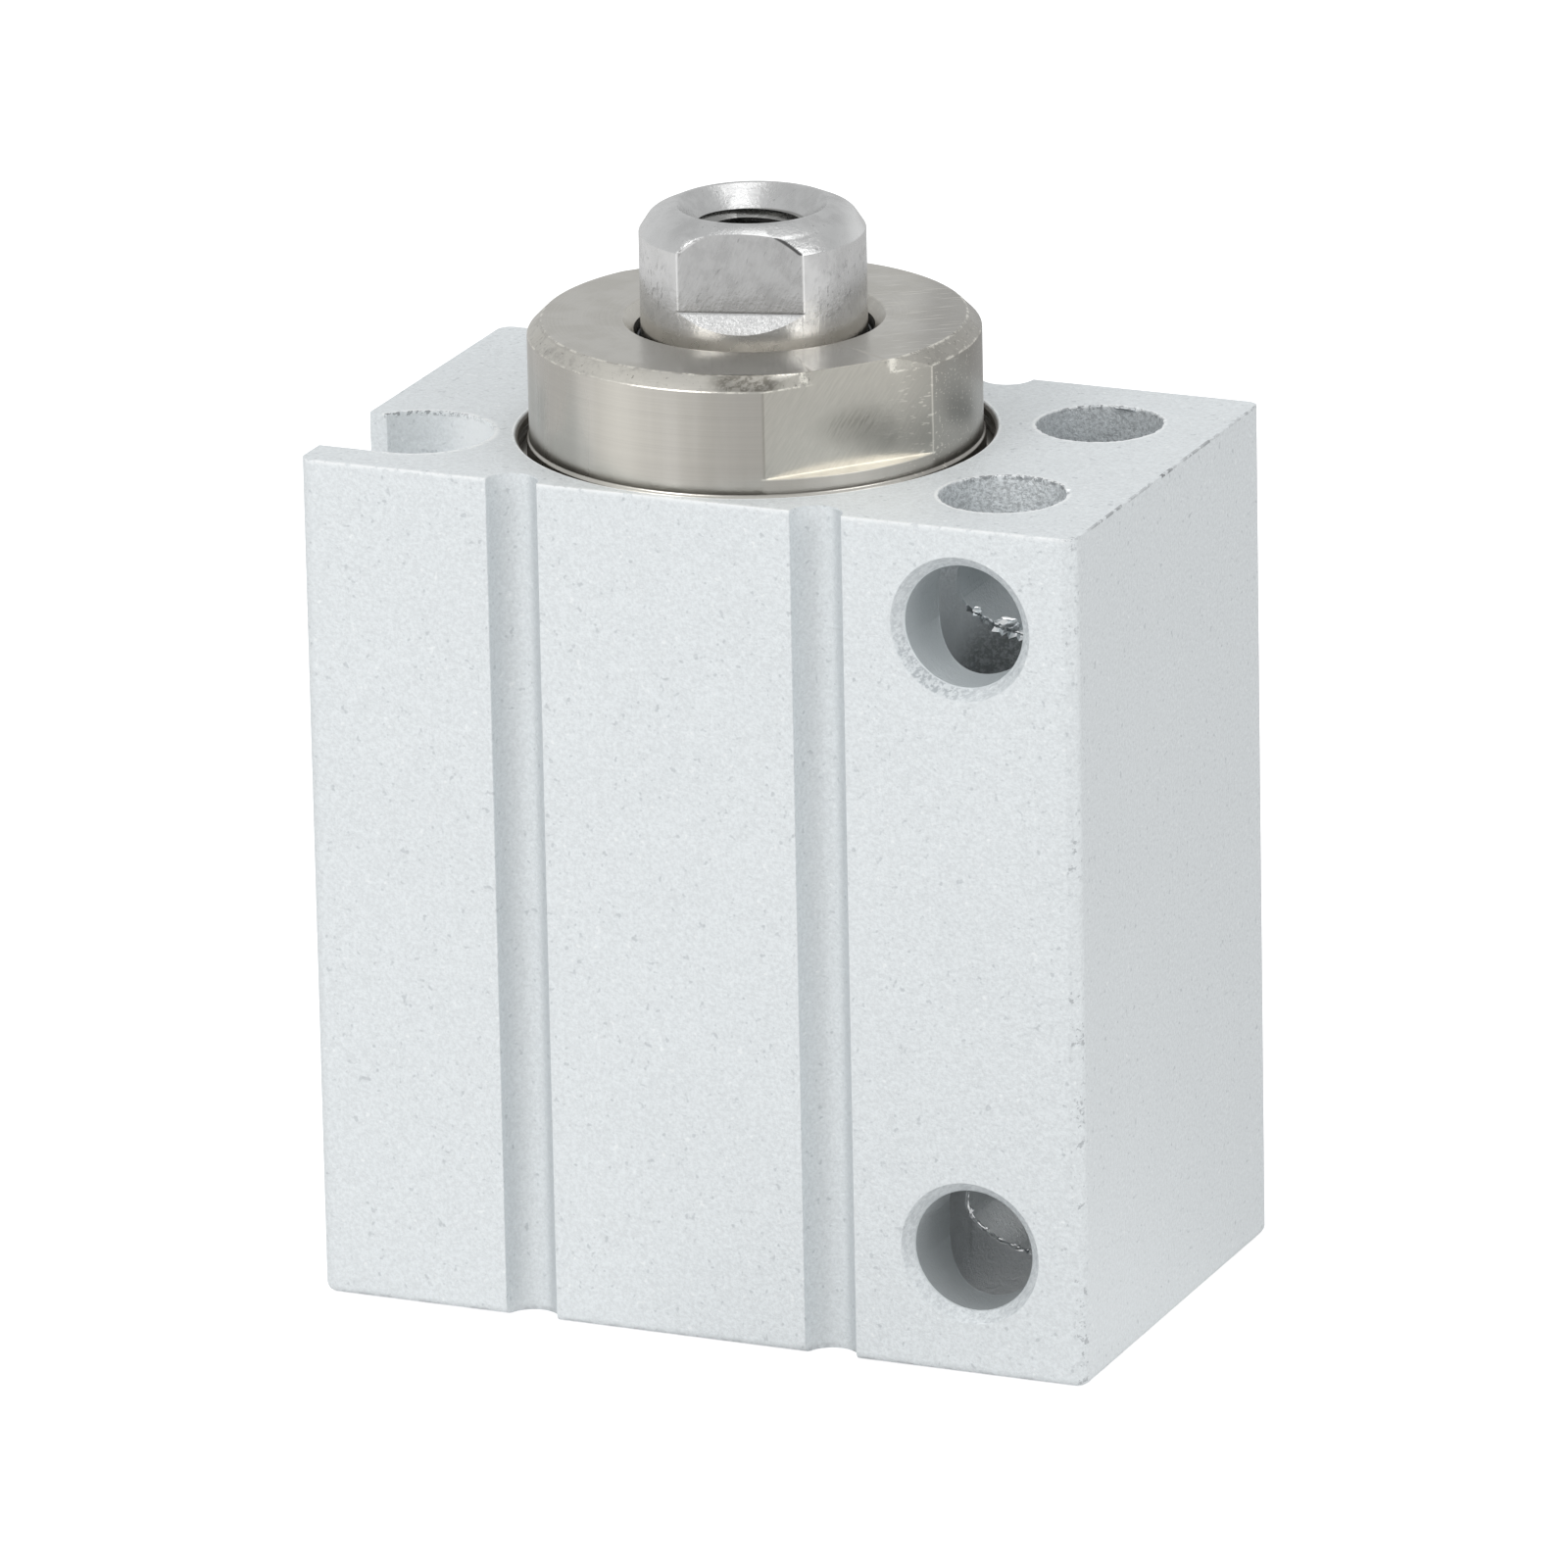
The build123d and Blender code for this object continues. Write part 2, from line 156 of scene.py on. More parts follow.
def pick(piece: Piece, kind: str, test: Callable[[object], bool]) -> int:
    """Select the parts of a piece that pass a test and stay in edit mode.

    Args:
        piece: the piece that is worked on.
        kind: EDGE for its edges, VERT for its points.
        test: says of one edge or point whether it is wanted.

    Returns:
        How many are selected.
    """
    take(piece)
    bpy.ops.object.mode_set(mode="EDIT")
    bpy.ops.mesh.select_mode(type=kind)
    bpy.ops.mesh.select_all(action="DESELECT")
    mesh = bmesh.from_edit_mesh(piece.data)
    found = [part for part in (mesh.edges if kind == "EDGE" else mesh.verts) if test(part)]
    for part in found:
        part.select_set(True)
    bmesh.update_edit_mesh(piece.data)
    return len(found)


def soften_edges(piece: Piece, test: Callable[[Edge], bool], width: float,
                 segments: int = 2) -> None:
    """Round the edges that pass a test.

    Args:
        piece: the piece that is worked on.
        test: says of one edge whether it is rounded.
        width: how far the rounding reaches on each side, millimetres.
        segments: faces across the rounding.
    """
    if pick(piece, "EDGE", test):
        bpy.ops.mesh.bevel(offset=width, segments=segments, profile=0.5, affect="EDGES",
                           clamp_overlap=True)
    deselect_all()


def merge_all(gap: float = MERGE_GAP) -> None:
    """Merge, in edit mode, the points that lie nearer to each other than a gap."""
    bpy.ops.mesh.select_all(action="SELECT")
    bpy.ops.mesh.remove_doubles(threshold=gap)


def merge_points(piece: Piece, gap: float) -> None:
    """Merge the points of a piece that lie nearer to each other than a gap, in millimetres."""
    pick(piece, "VERT", lambda point: True)
    merge_all(gap)
    deselect_all()


def face_outwards() -> None:
    """Turn every face outwards and leave edit mode."""
    bpy.ops.mesh.select_all(action="SELECT")
    bpy.ops.mesh.normals_make_consistent(inside=False)
    deselect_all()


def modify(piece: Piece, kind: str, **settings: object) -> None:
    """Add a modifier with its settings to a piece and apply it."""
    take(piece)
    modifier = piece.modifiers.new(kind.lower(), kind)
    for name, value in settings.items():
        setattr(modifier, name, value)
    bpy.ops.object.modifier_apply(modifier=modifier.name)


def combine(piece: Piece, other: Piece, operation: str) -> None:
    """Join another piece's space to a piece or take it out, and clear the other away."""
    modify(piece, "BOOLEAN", operation=operation, solver="EXACT", object=other)
    bpy.data.objects.remove(other)


def cut(piece: Piece, *cutters: Piece) -> None:
    """Take the cutters' space out of a piece and clear the cutters away."""
    for cutter in cutters:
        combine(piece, cutter, "DIFFERENCE")


def drawn_line(name: str, points: Sequence[Vector]) -> Piece:
    """Draw a line of straight runs through points and stay in edit mode.

    Args:
        name: the piece's name.
        points: the places that the line passes, millimetres.

    Returns:
        The new piece, which is edges alone.
    """
    deselect_all()
    bpy.ops.mesh.primitive_plane_add(size=1.0)
    piece = bpy.context.object
    piece.name = piece.data.name = name
    bpy.ops.object.mode_set(mode="EDIT")
    bpy.ops.mesh.select_mode(type="VERT")
    bpy.ops.mesh.select_all(action="SELECT")
    bpy.ops.mesh.merge(type="CENTER")
    bpy.ops.transform.translate(value=points[0])
    for here, there in zip(points, points[1:]):
        bpy.ops.mesh.extrude_region_move(TRANSFORM_OT_translate={"value": there - here})
    return piece


def turned(name: str, outline: Outline, steps: int = 128) -> Piece:
    """Turn an outline about the Z axis, as on a lathe.

    Args:
        name: the piece's name.
        outline: points of radius and height, and a corner's rounding as an optional third
            number. An outline that starts and ends on the axis makes a solid, and any other
            is closed to a ring.
        steps: faces round the axis.

    Returns:
        The turned piece, in millimetres.
    """
    points = [Vector((point[0], 0, point[1])) for point in outline]
    solid = points[0].x == 0 and points[-1].x == 0
    piece = drawn_line(name, points if solid else [*points, points[0]])
    merge_all()
    for rounding in sorted({point[2] for point in outline if len(point) > 2}):
        corners = [Vector((p[0], 0, p[1])) for p in outline if len(p) > 2 and p[2] == rounding]
        pick(piece, "VERT", lambda v: any((v.co - c).length < MERGE_GAP for c in corners))
        bpy.ops.mesh.bevel(offset=rounding, segments=4, affect="VERTICES", clamp_overlap=True)
    bpy.ops.mesh.select_all(action="SELECT")
    bpy.ops.mesh.spin(steps=steps, angle=math.tau, center=(0, 0, 0), axis=(0, 0, 1))
    merge_all()
    bpy.ops.mesh.delete_loose()
    face_outwards()
    return piece


def drum(name: str, radius: float, low_z: float, high_z: float, steps: int) -> Piece:
    """Plain round piece on the Z axis between two heights."""
    return turned(name, [(0, low_z), (radius, low_z), (radius, high_z), (0, high_z)], steps)


def screw_cutter(name: str, drill_r: float, thread_r: float, pitch: float, low_z: float,
                 high_z: float, steps: int = 72) -> Piece:
    """Model the closed screw shape that cuts a female thread.

    Args:
        name: the cutter's name.
        drill_r: radius of the tapping hole, millimetres.
        thread_r: radius at the bottom of the thread's grooves.
        pitch: rise of one turn.
        low_z: lower end.
        high_z: upper end.
        steps: faces round the axis.

    Returns:
        The cutter, in millimetres.
    """
    core_r = drill_r - CORE_GAP
    flank = [(core_r, 0.0), (core_r, 0.18), (thread_r, 0.55), (thread_r, 0.65), (core_r, 1.0)]
    start_z = low_z - 1.5 * pitch
    piece = drawn_line(name, [Vector((radius, 0, start_z + share * pitch))
                              for radius, share in flank])
    modify(piece, "SCREW", angle=math.tau, screw_offset=pitch, steps=steps, render_steps=steps,
           iterations=math.ceil((high_z - start_z) / pitch) + 2)
    bpy.ops.object.mode_set(mode="EDIT")
    merge_all()
    for height, upwards in ((low_z, -1), (high_z, 1)):
        bpy.ops.mesh.select_all(action="SELECT")
        bpy.ops.mesh.bisect(plane_co=(0, 0, height), plane_no=(0, 0, upwards), use_fill=True,
                            clear_outer=True, threshold=MERGE_GAP)
    face_outwards()
    return piece


def block(name: str, low: Place, high: Place) -> Piece:
    """Add a box between its lowest and highest corner, with its place in its mesh."""
    deselect_all()
    bpy.ops.mesh.primitive_cube_add(size=1.0)
    piece = bpy.context.object
    piece.name = piece.data.name = name
    piece.scale = [b - a for a, b in zip(low, high)]
    piece.location = [(a + b) / 2 for a, b in zip(low, high)]
    bpy.ops.object.transform_apply(location=True, rotation=True, scale=True)
    return piece


def lay(piece: Piece, at: Place, turn: Turn = Turn.UP, about_z: float = 0.0) -> Piece:
    """Turn a piece, move it to its place and keep that in its mesh.

    Args:
        piece: the piece that is laid.
        at: where its own origin goes, millimetres.
        turn: the direction that its Z axis is laid in.
        about_z: a further turn about the upright axis, degrees.

    Returns:
        The same piece.
    """
    take(piece)
    about_x, about_y, _ = (math.radians(angle) for angle in turn.value)
    tilt = Matrix.Rotation(about_y, 4, "Y") @ Matrix.Rotation(about_x, 4, "X")
    piece.matrix_world = Matrix.Rotation(math.radians(about_z), 4, "Z") @ Matrix.Translation(
        at) @ tilt
    bpy.ops.object.transform_apply(location=True, rotation=True, scale=True)
    return piece


def flat_normal(degrees: float) -> Vector:
    """Way out of a wrench flat that stands at an angle from the front."""
    angle = math.radians(degrees)
    return Vector((math.sin(angle), -math.cos(angle), 0))


def finish_piece(piece: Piece, body: Body, finish: "Finish",
                 stands_for: Sequence[str] = (), sharp_deg: float = 32.0) -> None:
    """Bring a piece to the frame's metres, shade and dress it, and set it on its body.

    Args:
        piece: the modelled piece, in millimetres.
        body: the CAD body that it moves with.
        finish: the look of its surface.
        stands_for: CAD nodes that it replaces.
        sharp_deg: edges that turn more than this stay sharp.
    """
    take(piece)
    piece.scale = (MM, MM, MM)
    bpy.ops.object.transform_apply(location=True, rotation=True, scale=True)
    bpy.ops.object.shade_smooth_by_angle(angle=math.radians(sharp_deg))
    modify(piece, "WEIGHTED_NORMAL", keep_sharp=True, weight=NORMAL_WEIGHT)
    piece.data.materials.clear()
    piece.data.materials.append(finish.material())
    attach(piece, body.value)
    if stands_for:
        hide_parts(*stands_for)
    deselect_all()
    LOG.info("%s: %d faces on %s", piece.name, len(piece.data.polygons), body.value)


# Finishes


def toned(colour: Colour, share: float) -> Colour:
    """A share of a colour, darker below one and brighter above it, up to white."""
    return tuple(min(part * share, 1.0) for part in colour)


class Recipe:
    """Nodes of one material, built up from the place on the piece.

    A value is a socket or a number. Lengths in sockets are metres, and lengths given as
    numbers are millimetres.
    """

    def start(self, name: str) -> "Recipe":
        """Start a material with its shader and the piece's own coordinates."""
        self.made = bpy.data.materials.new(name)
        self.made.use_nodes = True
        self.nodes, self.links = self.made.node_tree.nodes, self.made.node_tree.links
        self.shader = self.nodes["Principled BSDF"]
        self.place = self.node("TexCoord").outputs["Object"]
        self.x, self.y, self.z = self.node("SeparateXYZ", self.place).outputs
        return self

    def node(self, kind: str, *values: object, **settings: object) -> bpy.types.Node:
        """Add a node, set it up and feed its first sockets in their order."""
        node = self.nodes.new("ShaderNode" + kind)
        for name, value in settings.items():
            setattr(node, name, value)
        for socket, value in zip(node.inputs, values):
            self.feed(socket, value)
        return node

    def feed(self, socket: object, value: object) -> None:
        """Set a socket to a number or colour, or link another socket to it; None leaves it."""
        if value is None:
            return
        if isinstance(value, bpy.types.NodeSocket):
            self.links.new(value, socket)
        elif isinstance(value, tuple) and len(value) == 3 and socket.type == "RGBA":
            socket.default_value = (*value, 1.0)
        else:
            socket.default_value = value

    def math(self, operation: str, first: object, second: object = None) -> object:
        """Work out one value from one or two others."""
        return self.node("Math", first, second, operation=operation).outputs[0]

    def times(self, *values: object) -> object:
        """Product of the values."""
        return reduce(lambda first, second: self.math("MULTIPLY", first, second), values)

    def most(self, *values: object) -> object:
        """Largest of the values."""
        return reduce(lambda first, second: self.math("MAXIMUM", first, second), values)

    def plus(self, first: object, second: object) -> object:
        """Sum of two values."""
        return self.math("ADD", first, second)

    def less(self, first: object, second: object) -> object:
        """First value less the second."""
        return self.math("SUBTRACT", first, second)

    def size(self, value: object) -> object:
        """A value without its sign."""
        return self.math("ABSOLUTE", value)

    def vector(self, x: object, y: object, z: object) -> object:
        """Join three values to a vector."""
        return self.node("CombineXYZ", x, y, z).outputs[0]

    def off_axis(self, first: object, second: object, at_mm: Place) -> object:
        """Distance from a straight axis that crosses two of the directions at a place."""
        a, b = self.less(first, at_mm[0] * MM), self.less(second, at_mm[1] * MM)
        return self.math("SQRT", self.plus(self.times(a, a), self.times(b, b)))

    def radius(self) -> object:
        """Distance from the bore axis."""
        return self.off_axis(self.x, self.y, (0.0, 0.0))

    def ringed(self) -> object:
        """Coordinates that turn any pattern to rings round the bore axis."""
        return self.vector(self.radius(), 0.0, self.z)

    def along(self, direction: Place) -> object:
        """How far the place lies from the bore axis along a direction."""
        return self.node("VectorMath", self.place, direction,
                         operation="DOT_PRODUCT").outputs["Value"]

    def flat_place(self, degrees: float) -> tuple[object, object]:
        """How far out a place lies on the side of a wrench flat, and how far along it."""
        return (self.size(self.along(flat_normal(degrees))),
                self.along(flat_normal(degrees + 90)))

    def distance(self, point_mm: Place, stretch: Place = (1, 1, 1)) -> object:
        """Distance from a point, with each axis divided by its stretch."""
        place = self.node("Mapping", self.place, [
            -value * MM / share for value, share in zip(point_mm, stretch)], None,
            [1 / share for share in stretch]).outputs[0]
        return self.node("VectorMath", place, operation="LENGTH").outputs["Value"]

    def mapped(self, turn_deg: Place = (0, 0, 0), stretch: Place = (1, 1, 1),
               place: object = None) -> object:
        """Turn and stretch a pattern's coordinates."""
        return self.node("Mapping", place or self.place, None, [
            math.radians(angle) for angle in turn_deg], stretch, vector_type="TEXTURE").outputs[0]

    def noise(self, size_mm: float, place: object = None, detail: float = 2.0,
              rough: float = 0.5) -> object:
        """Cloudy pattern with features of about a size.

        Args:
            size_mm: size of the features, millimetres.
            place: coordinates to read, if not the piece's own.
            detail: levels of finer features.
            rough: strength of the finer features.

        Returns:
            A socket with values round one half.
        """
        node = self.node("TexNoise", place or self.place)
        for name, value in (("Scale", 1 / (size_mm * MM)), ("Detail", detail),
                            ("Roughness", rough)):
            node.inputs[name].default_value = value
        return node.outputs["Fac"]

    def spread(self, value: object, low: float, high: float, out_low: float = 0.0,
               out_high: float = 1.0) -> object:
        """Spread the values between low and high, smoothly, over a new range."""
        return self.node("MapRange", value, low, high, out_low, out_high,
                         interpolation_type="SMOOTHSTEP").outputs[0]

    def patches(self, size_mm: float, low: float, high: float, out_low: float = 0.0,
                out_high: float = 1.0, **look: object) -> object:
        """Patches of a cloudy pattern, spread from the levels between low and high."""
        return self.spread(self.noise(size_mm, **look), low, high, out_low, out_high)

    def ramp(self, length: object, low_mm: float, high_mm: float, out_low: float = 0.0,
             out_high: float = 1.0) -> object:
        """Spread the lengths between two places over a new range."""
        return self.spread(length, low_mm * MM, high_mm * MM, out_low, out_high)

    def below(self, length: object, low_mm: float, high_mm: float) -> object:
        """One up to the lower length, falling to zero at the higher one."""
        return self.ramp(length, low_mm, high_mm, 1.0, 0.0)

    def near(self, length: object, at_mm: float, width_mm: float) -> object:
        """One where a length is at_mm, falling to zero a width away from it."""
        return self.below(self.size(self.less(length, at_mm * MM)), 0.0, width_mm)

    def blend(self, share: object, first: object, second: object) -> object:
        """Blend two colours."""
        node = self.node("Mix", data_type="RGBA")
        for socket, value in ((node.inputs["Factor"], share), (node.inputs[6], first),
                              (node.inputs[7], second)):
            self.feed(socket, value)
        return node.outputs[2]

    def coats(self, colour: object, *coats: tuple[object, object]) -> object:
        """Lay colours over a first one, each given with the share that it covers."""
        for share, tint in coats:
            colour = self.blend(share, colour, tint)
        return colour

    def bumps(self, *heights: tuple[object, float]) -> object:
        """Raise the surface by patterns, each given with its depth in millimetres."""
        under = None
        for height, depth_mm in heights:
            node = self.node("Bump")
            node.inputs["Strength"].default_value = 1.0
            node.inputs["Distance"].default_value = depth_mm * MM
            self.feed(node.inputs["Height"], height)
            self.feed(node.inputs["Normal"], under)
            under = node.outputs[0]
        return under

    def set(self, **sockets: object) -> None:
        """Feed the shader's sockets, named with underscores for spaces."""
        for name, value in sockets.items():
            self.feed(self.shader.inputs[name.replace("_", " ")], value)


@dataclass
class Finish(Recipe):
    """A surface finish, made as a material once and then shared."""

    name: str

    def material(self) -> bpy.types.Material:
        """Return the finish's material, mixing it on first use."""
        found = bpy.data.materials.get(self.name)
        if found is None:
            self.start(self.name)
            self.mix()
            found = self.made
        return found

    def mix(self) -> None:
        """Build the nodes of the finish."""
        raise NotImplementedError


@dataclass
class BlastedAnodised(Finish):
    """Sand-blasted aluminium under a clear anodised skin, bare where it was cut later."""

    name: str = "blasted_anodised_aluminium"
    skin: Colour = (0.765, 0.797, 0.812)
    pale: Colour = (0.92, 0.94, 0.945)
    # dark grey of real pits, also laid as painted shade in the finger grooves and the rear upright
    # hole
    pits_and_shade: Colour = (0.40, 0.43, 0.45)
    bored: Colour = (0.80, 0.83, 0.845)
    drilled: Colour = (0.68, 0.72, 0.735)
    soot: Colour = (0.20, 0.21, 0.22)
    # painted shade for the gap round the cover
    wall: Colour = (0.15, 0.14, 0.125)
    shade: Colour = (0.30, 0.315, 0.32)
    half_shade: Colour = (0.52, 0.54, 0.55)
    grain_mm: float = 0.13
    metal: float = 0.35
    shade_mm: Triple = (10.4, -2.6, 23.9)
    torn_mm: Triple = (9.9, -8.6, 25.5)
    hit_y: float = -0.3

    def mix(self) -> None:
        """Grain, pits, worn edges and bare holes on the skin, with painted shade and painted light
        in the grooves, slot, holes and gap.
        """
        grain = self.noise(self.grain_mm, detail=3.0, rough=0.7)
        fleck = self.noise(self.grain_mm * 1.9, detail=1.0)
        sparse = self.noise(self.grain_mm * 3.2, detail=2.0)
        speckle = self.noise(0.15, detail=3.0, rough=0.8)
        in_bored, in_drilled = self.bored_mask(), self.in_cross(0.02, 0.05)
        deep = self.below(self.size(self.y), 4.2, 4.5)
        upper = self.ramp(self.z, 10.0, 20.0)
        skin = self.coats(
            self.blend(self.spread(grain, 0.28, 0.72), toned(self.skin, 0.92),
                       toned(self.skin, 1.07)),
            (self.spread(fleck, 0.34, 0.22, 0.0, 0.42), self.pits_and_shade),
            (self.spread(sparse, 0.26, 0.19, 0.0, 0.55), self.pits_and_shade),
            (self.spread(fleck, 0.68, 0.80, 0.0, 0.6), self.pale),
            (self.patches(5.0, 0.35, 0.65, 0.0, 0.02, detail=3.0), self.pits_and_shade),
            # painted shade down the right side of each finger groove
            (self.groove_shade_mask(), self.pits_and_shade), (self.mouth_mask(), self.pits_and_shade),
            # painted light on the inner side of the sensor slot's wall
            (self.slot_painted_light_mask(), self.pale))
        beside = self.ramp(self.size(self.less(self.x, BLOCK.hole_x * MM)), 0.9, 2.2, 0.0, 0.30)
        torn = self.coats(self.blend(self.spread(speckle, 0.38, 0.60), toned(self.bored, 0.68),
                                     toned(self.bored, 1.10)), (beside, self.pits_and_shade))
        # painted shade: the bored walls darken towards the bottom of the holes
        smooth_with_shade = self.blend(self.ramp(self.z, 12.0, 20.0), toned(self.bored, 0.66),
                            toned(self.bored, 0.88))
        shaded = self.blend(self.spread(speckle, 0.42, 0.62), self.shade, self.half_shade)
        bored = self.coats(
            smooth_with_shade, (self.ramp(self.z, 26.0, 29.2), torn),
            # painted shade: the rear upright hole is darker than the front one
            (self.ramp(self.y, 0.0, 1.0, 0.0, 0.24), self.pits_and_shade), (self.shade_mask(), shaded))
        # painted light and shade in the cross holes: pale in the stretch between the upright holes,
        # darker in the rest of the lower hole
        drilled = self.blend(
            deep, self.blend(upper, toned(self.drilled, 0.84), self.drilled),
            self.blend(upper, self.pale, toned(self.drilled, 1.02)))
        colour = self.coats(
            # painted shade on the pocket wall in the gap round the cover
            skin, (in_bored, bored), (in_drilled, drilled), (self.pocket_shade_mask(), self.wall),
            # worn edges with a painted highlight along them
            (self.worn_and_highlight_mask(), self.pale), (self.dash_mask(), self.soot),
            (self.foot_mask(), toned(self.soot, 1.6)),
            (self.serration_mask(), toned(self.soot, 1.4)))
        deep = self.times(deep, in_drilled)
        sheen = self.times(deep, self.less(0.45, self.times(upper, 0.40)))
        self.set(Base_Color=colour, Metallic=self.plus(sheen, self.metal),
                 Normal=self.bumps((grain, 0.03), (self.noise(0.45, detail=2.0), 0.022),
                                   (self.times(in_bored, speckle), 0.03)),
                 Roughness=self.less(self.spread(grain, 0.2, 0.8, 0.42, 0.56),
                                     self.times(self.plus(in_drilled, deep), 0.08)))

    def hole_gap(self) -> object:
        """Distance from the axis of the nearer upright hole."""
        return self.off_axis(self.x, self.size(self.y), (BLOCK.hole_x, BLOCK.hole_y))

    def slot_gap(self) -> object:
        """Distance from the axis of the sensor slot."""
        return self.off_axis(self.x, self.y, BLOCK.slot)

    def in_cross(self, low_mm: float, high_mm: float) -> object:
        """One inside the holes from front to back, and round them up to a margin."""
        return self.most(*(self.below(
            self.off_axis(self.x, self.z, (BLOCK.cross_x, z)), BLOCK.cross_r + low_mm,
            BLOCK.cross_r + high_mm) for z in BLOCK.cross_z))

    def groove_shade_mask(self) -> object:
        """Painted shade: soft dark line down the right side of each finger groove."""
        radius, front_y = BLOCK.groove_r, BLOCK.front_y
        lines = []
        for x, left_share in zip(BLOCK.groove_x, (0.14, 0.0)):
            across = self.less(self.x, x * MM)
            right = self.ramp(across, 0.14 * radius, 0.54 * radius, 0.0, 0.42)
            left = self.ramp(across, -0.9 * radius, -0.55 * radius, left_share, 0.0)
            inside = self.below(self.size(across), radius + 0.02, radius + 0.08)
            lines.append(self.times(self.most(right, left), inside))
        depth = self.size(self.y)
        return self.times(
            self.most(*lines), self.ramp(depth, front_y - radius - 0.15, front_y - radius - 0.05),
            self.below(depth, front_y - 0.10, front_y - 0.02),
            self.below(self.z, BLOCK.top_z - 0.08, BLOCK.top_z - 0.04))

    def mouth_mask(self) -> object:
        """Greyer, roughly cut countersinks at the mouths of the cross holes."""
        return self.times(
            self.in_cross(0.36, 0.42),
            self.ramp(self.size(self.y), BLOCK.front_y - 0.5, BLOCK.front_y - 0.4),
            self.patches(0.16, 0.44, 0.58, 0.20, 0.85, detail=3.0, rough=0.75,
                         place=self.mapped((0, 48, 0), (1, 1, 2.4))),
            self.ramp(self.distance(self.torn_mm), 0.8, 2.2, 1.0, 0.45))

    def serration_mask(self) -> object:
        """Dark nicks in the wall of the upright holes, just under their rims."""
        slot_x, slot_y = BLOCK.slot
        wall = self.below(self.hole_gap(), BLOCK.hole_r + 0.06, BLOCK.hole_r + 0.10)
        rear = self.ramp(self.y, BLOCK.hole_y + 0.6, BLOCK.hole_y + 1.6)
        front = self.times(self.ramp(self.y, 0.6 - BLOCK.hole_y, 1.6 - BLOCK.hole_y),
                           self.below(self.y, 0.0, 0.1))
        in_slot = self.times(
            self.below(self.slot_gap(), BLOCK.slot_r + 0.05, BLOCK.slot_r + 0.09),
            self.ramp(self.y, slot_y + 0.8, slot_y + 1.6),
            self.ramp(self.x, slot_x - 0.6, slot_x + 1.4, 1.0, 0.3))
        return self.times(
            self.most(self.times(wall, self.most(rear, front)), in_slot),
            self.ramp(self.z, BLOCK.top_z - 0.22, BLOCK.top_z - 0.09),
            self.patches(0.22, 0.48, 0.56, 0.0, 0.8, detail=2.0, rough=0.75))

    def slot_painted_light_mask(self) -> object:
        """Painted light: paler wall on the inner side of the sensor slot."""
        slot_x = BLOCK.slot[0]
        return self.times(
            self.below(self.slot_gap(), BLOCK.slot_r + 0.02, BLOCK.slot_r + 0.05),
            self.ramp(self.x, slot_x - 0.6, slot_x + 1.4, 0.0, 0.8))

    def bored_mask(self) -> object:
        """One on the walls of the through holes, the bore and the cover's pocket."""
        return self.times(
            self.most(self.below(self.hole_gap(), BLOCK.hole_r + 0.03, BLOCK.hole_r + 0.06),
                      self.below(self.radius(), BLOCK.pocket_r + 0.05, BLOCK.pocket_r + 0.08)),
            self.below(self.z, BLOCK.top_z - 0.05, BLOCK.top_z - 0.01))

    def shade_mask(self) -> object:
        """One on the dark patch under the upper cross hole, in the front upright hole."""
        return self.below(self.distance(self.shade_mm, (3.0, 1.0, 1.45)), 0.55, 1.7)

    def pocket_shade_mask(self) -> object:
        """Painted shade: one on the wall round the cover, just under the top face, in the dark gap.
        """
        return self.times(
            self.below(self.radius(), BLOCK.pocket_r + 0.10, BLOCK.pocket_r + 0.14),
            self.ramp(self.z, 28.0, 28.1),
            self.below(self.z, BLOCK.top_z - 0.06, BLOCK.top_z - 0.02))

    def worn_and_highlight_mask(self) -> object:
        """Pale, broken lines where edges are worn, partly a painted highlight along them: top
        front, pocket rim and hole rims.
        """
        top = self.near(self.z, BLOCK.top_z, 0.14)
        front = self.times(self.near(self.z, BLOCK.top_z, 0.19),
                           self.near(self.y, -BLOCK.front_y, 0.20))
        rims = [self.times(top, self.near(gap, edge, width)) for gap, edge, width in (
            (self.radius(), BLOCK.pocket_r + 0.15, 0.10),
            (self.hole_gap(), BLOCK.hole_r + 0.06, 0.13),
            (self.slot_gap(), BLOCK.slot_r + 0.06, 0.20))]
        return self.times(self.most(front, *rims),
                          self.patches(0.35, 0.36, 0.50, detail=3.0, rough=0.7))

    def foot_mask(self) -> object:
        """Dull, broken line along the rounded foot, and nicks down the front right corner."""
        foot = self.times(
            self.near(self.z, 0.06, 0.20),
            self.patches(0.9, 0.46, 0.60, 0.06, 0.42, detail=3.0, rough=0.75))
        corner = self.times(
            self.ramp(self.x, BLOCK.right_x - 0.50, BLOCK.right_x - 0.35),
            self.below(self.y, 0.35 - BLOCK.front_y, 0.50 - BLOCK.front_y),
            self.patches(0.30, 0.56, 0.64, 0.0, 0.6, detail=3.0, rough=0.75),
            self.patches(3.0, 0.42, 0.58, 0.15, 1.0, detail=1.0))
        return self.most(foot, corner)

    def dash_mask(self) -> object:
        """Thin dark dashes along the top edge of the hole side."""
        hit = self.near(self.y, self.hit_y, 1.4)
        edge = self.times(self.near(self.z, BLOCK.top_z, 0.13),
                          self.near(self.x, BLOCK.right_x, 0.13))
        pattern = self.noise(0.45, detail=3.0, rough=0.75)
        return self.times(
            self.spread(self.plus(edge, self.times(hit, 0.12)), 0.24, 0.44),
            self.spread(self.plus(pattern, self.times(hit, 0.04)), 0.47, 0.55),
            self.most(self.patches(3.6, 0.45, 0.60, 0.25, 0.65, detail=1.0), hit))


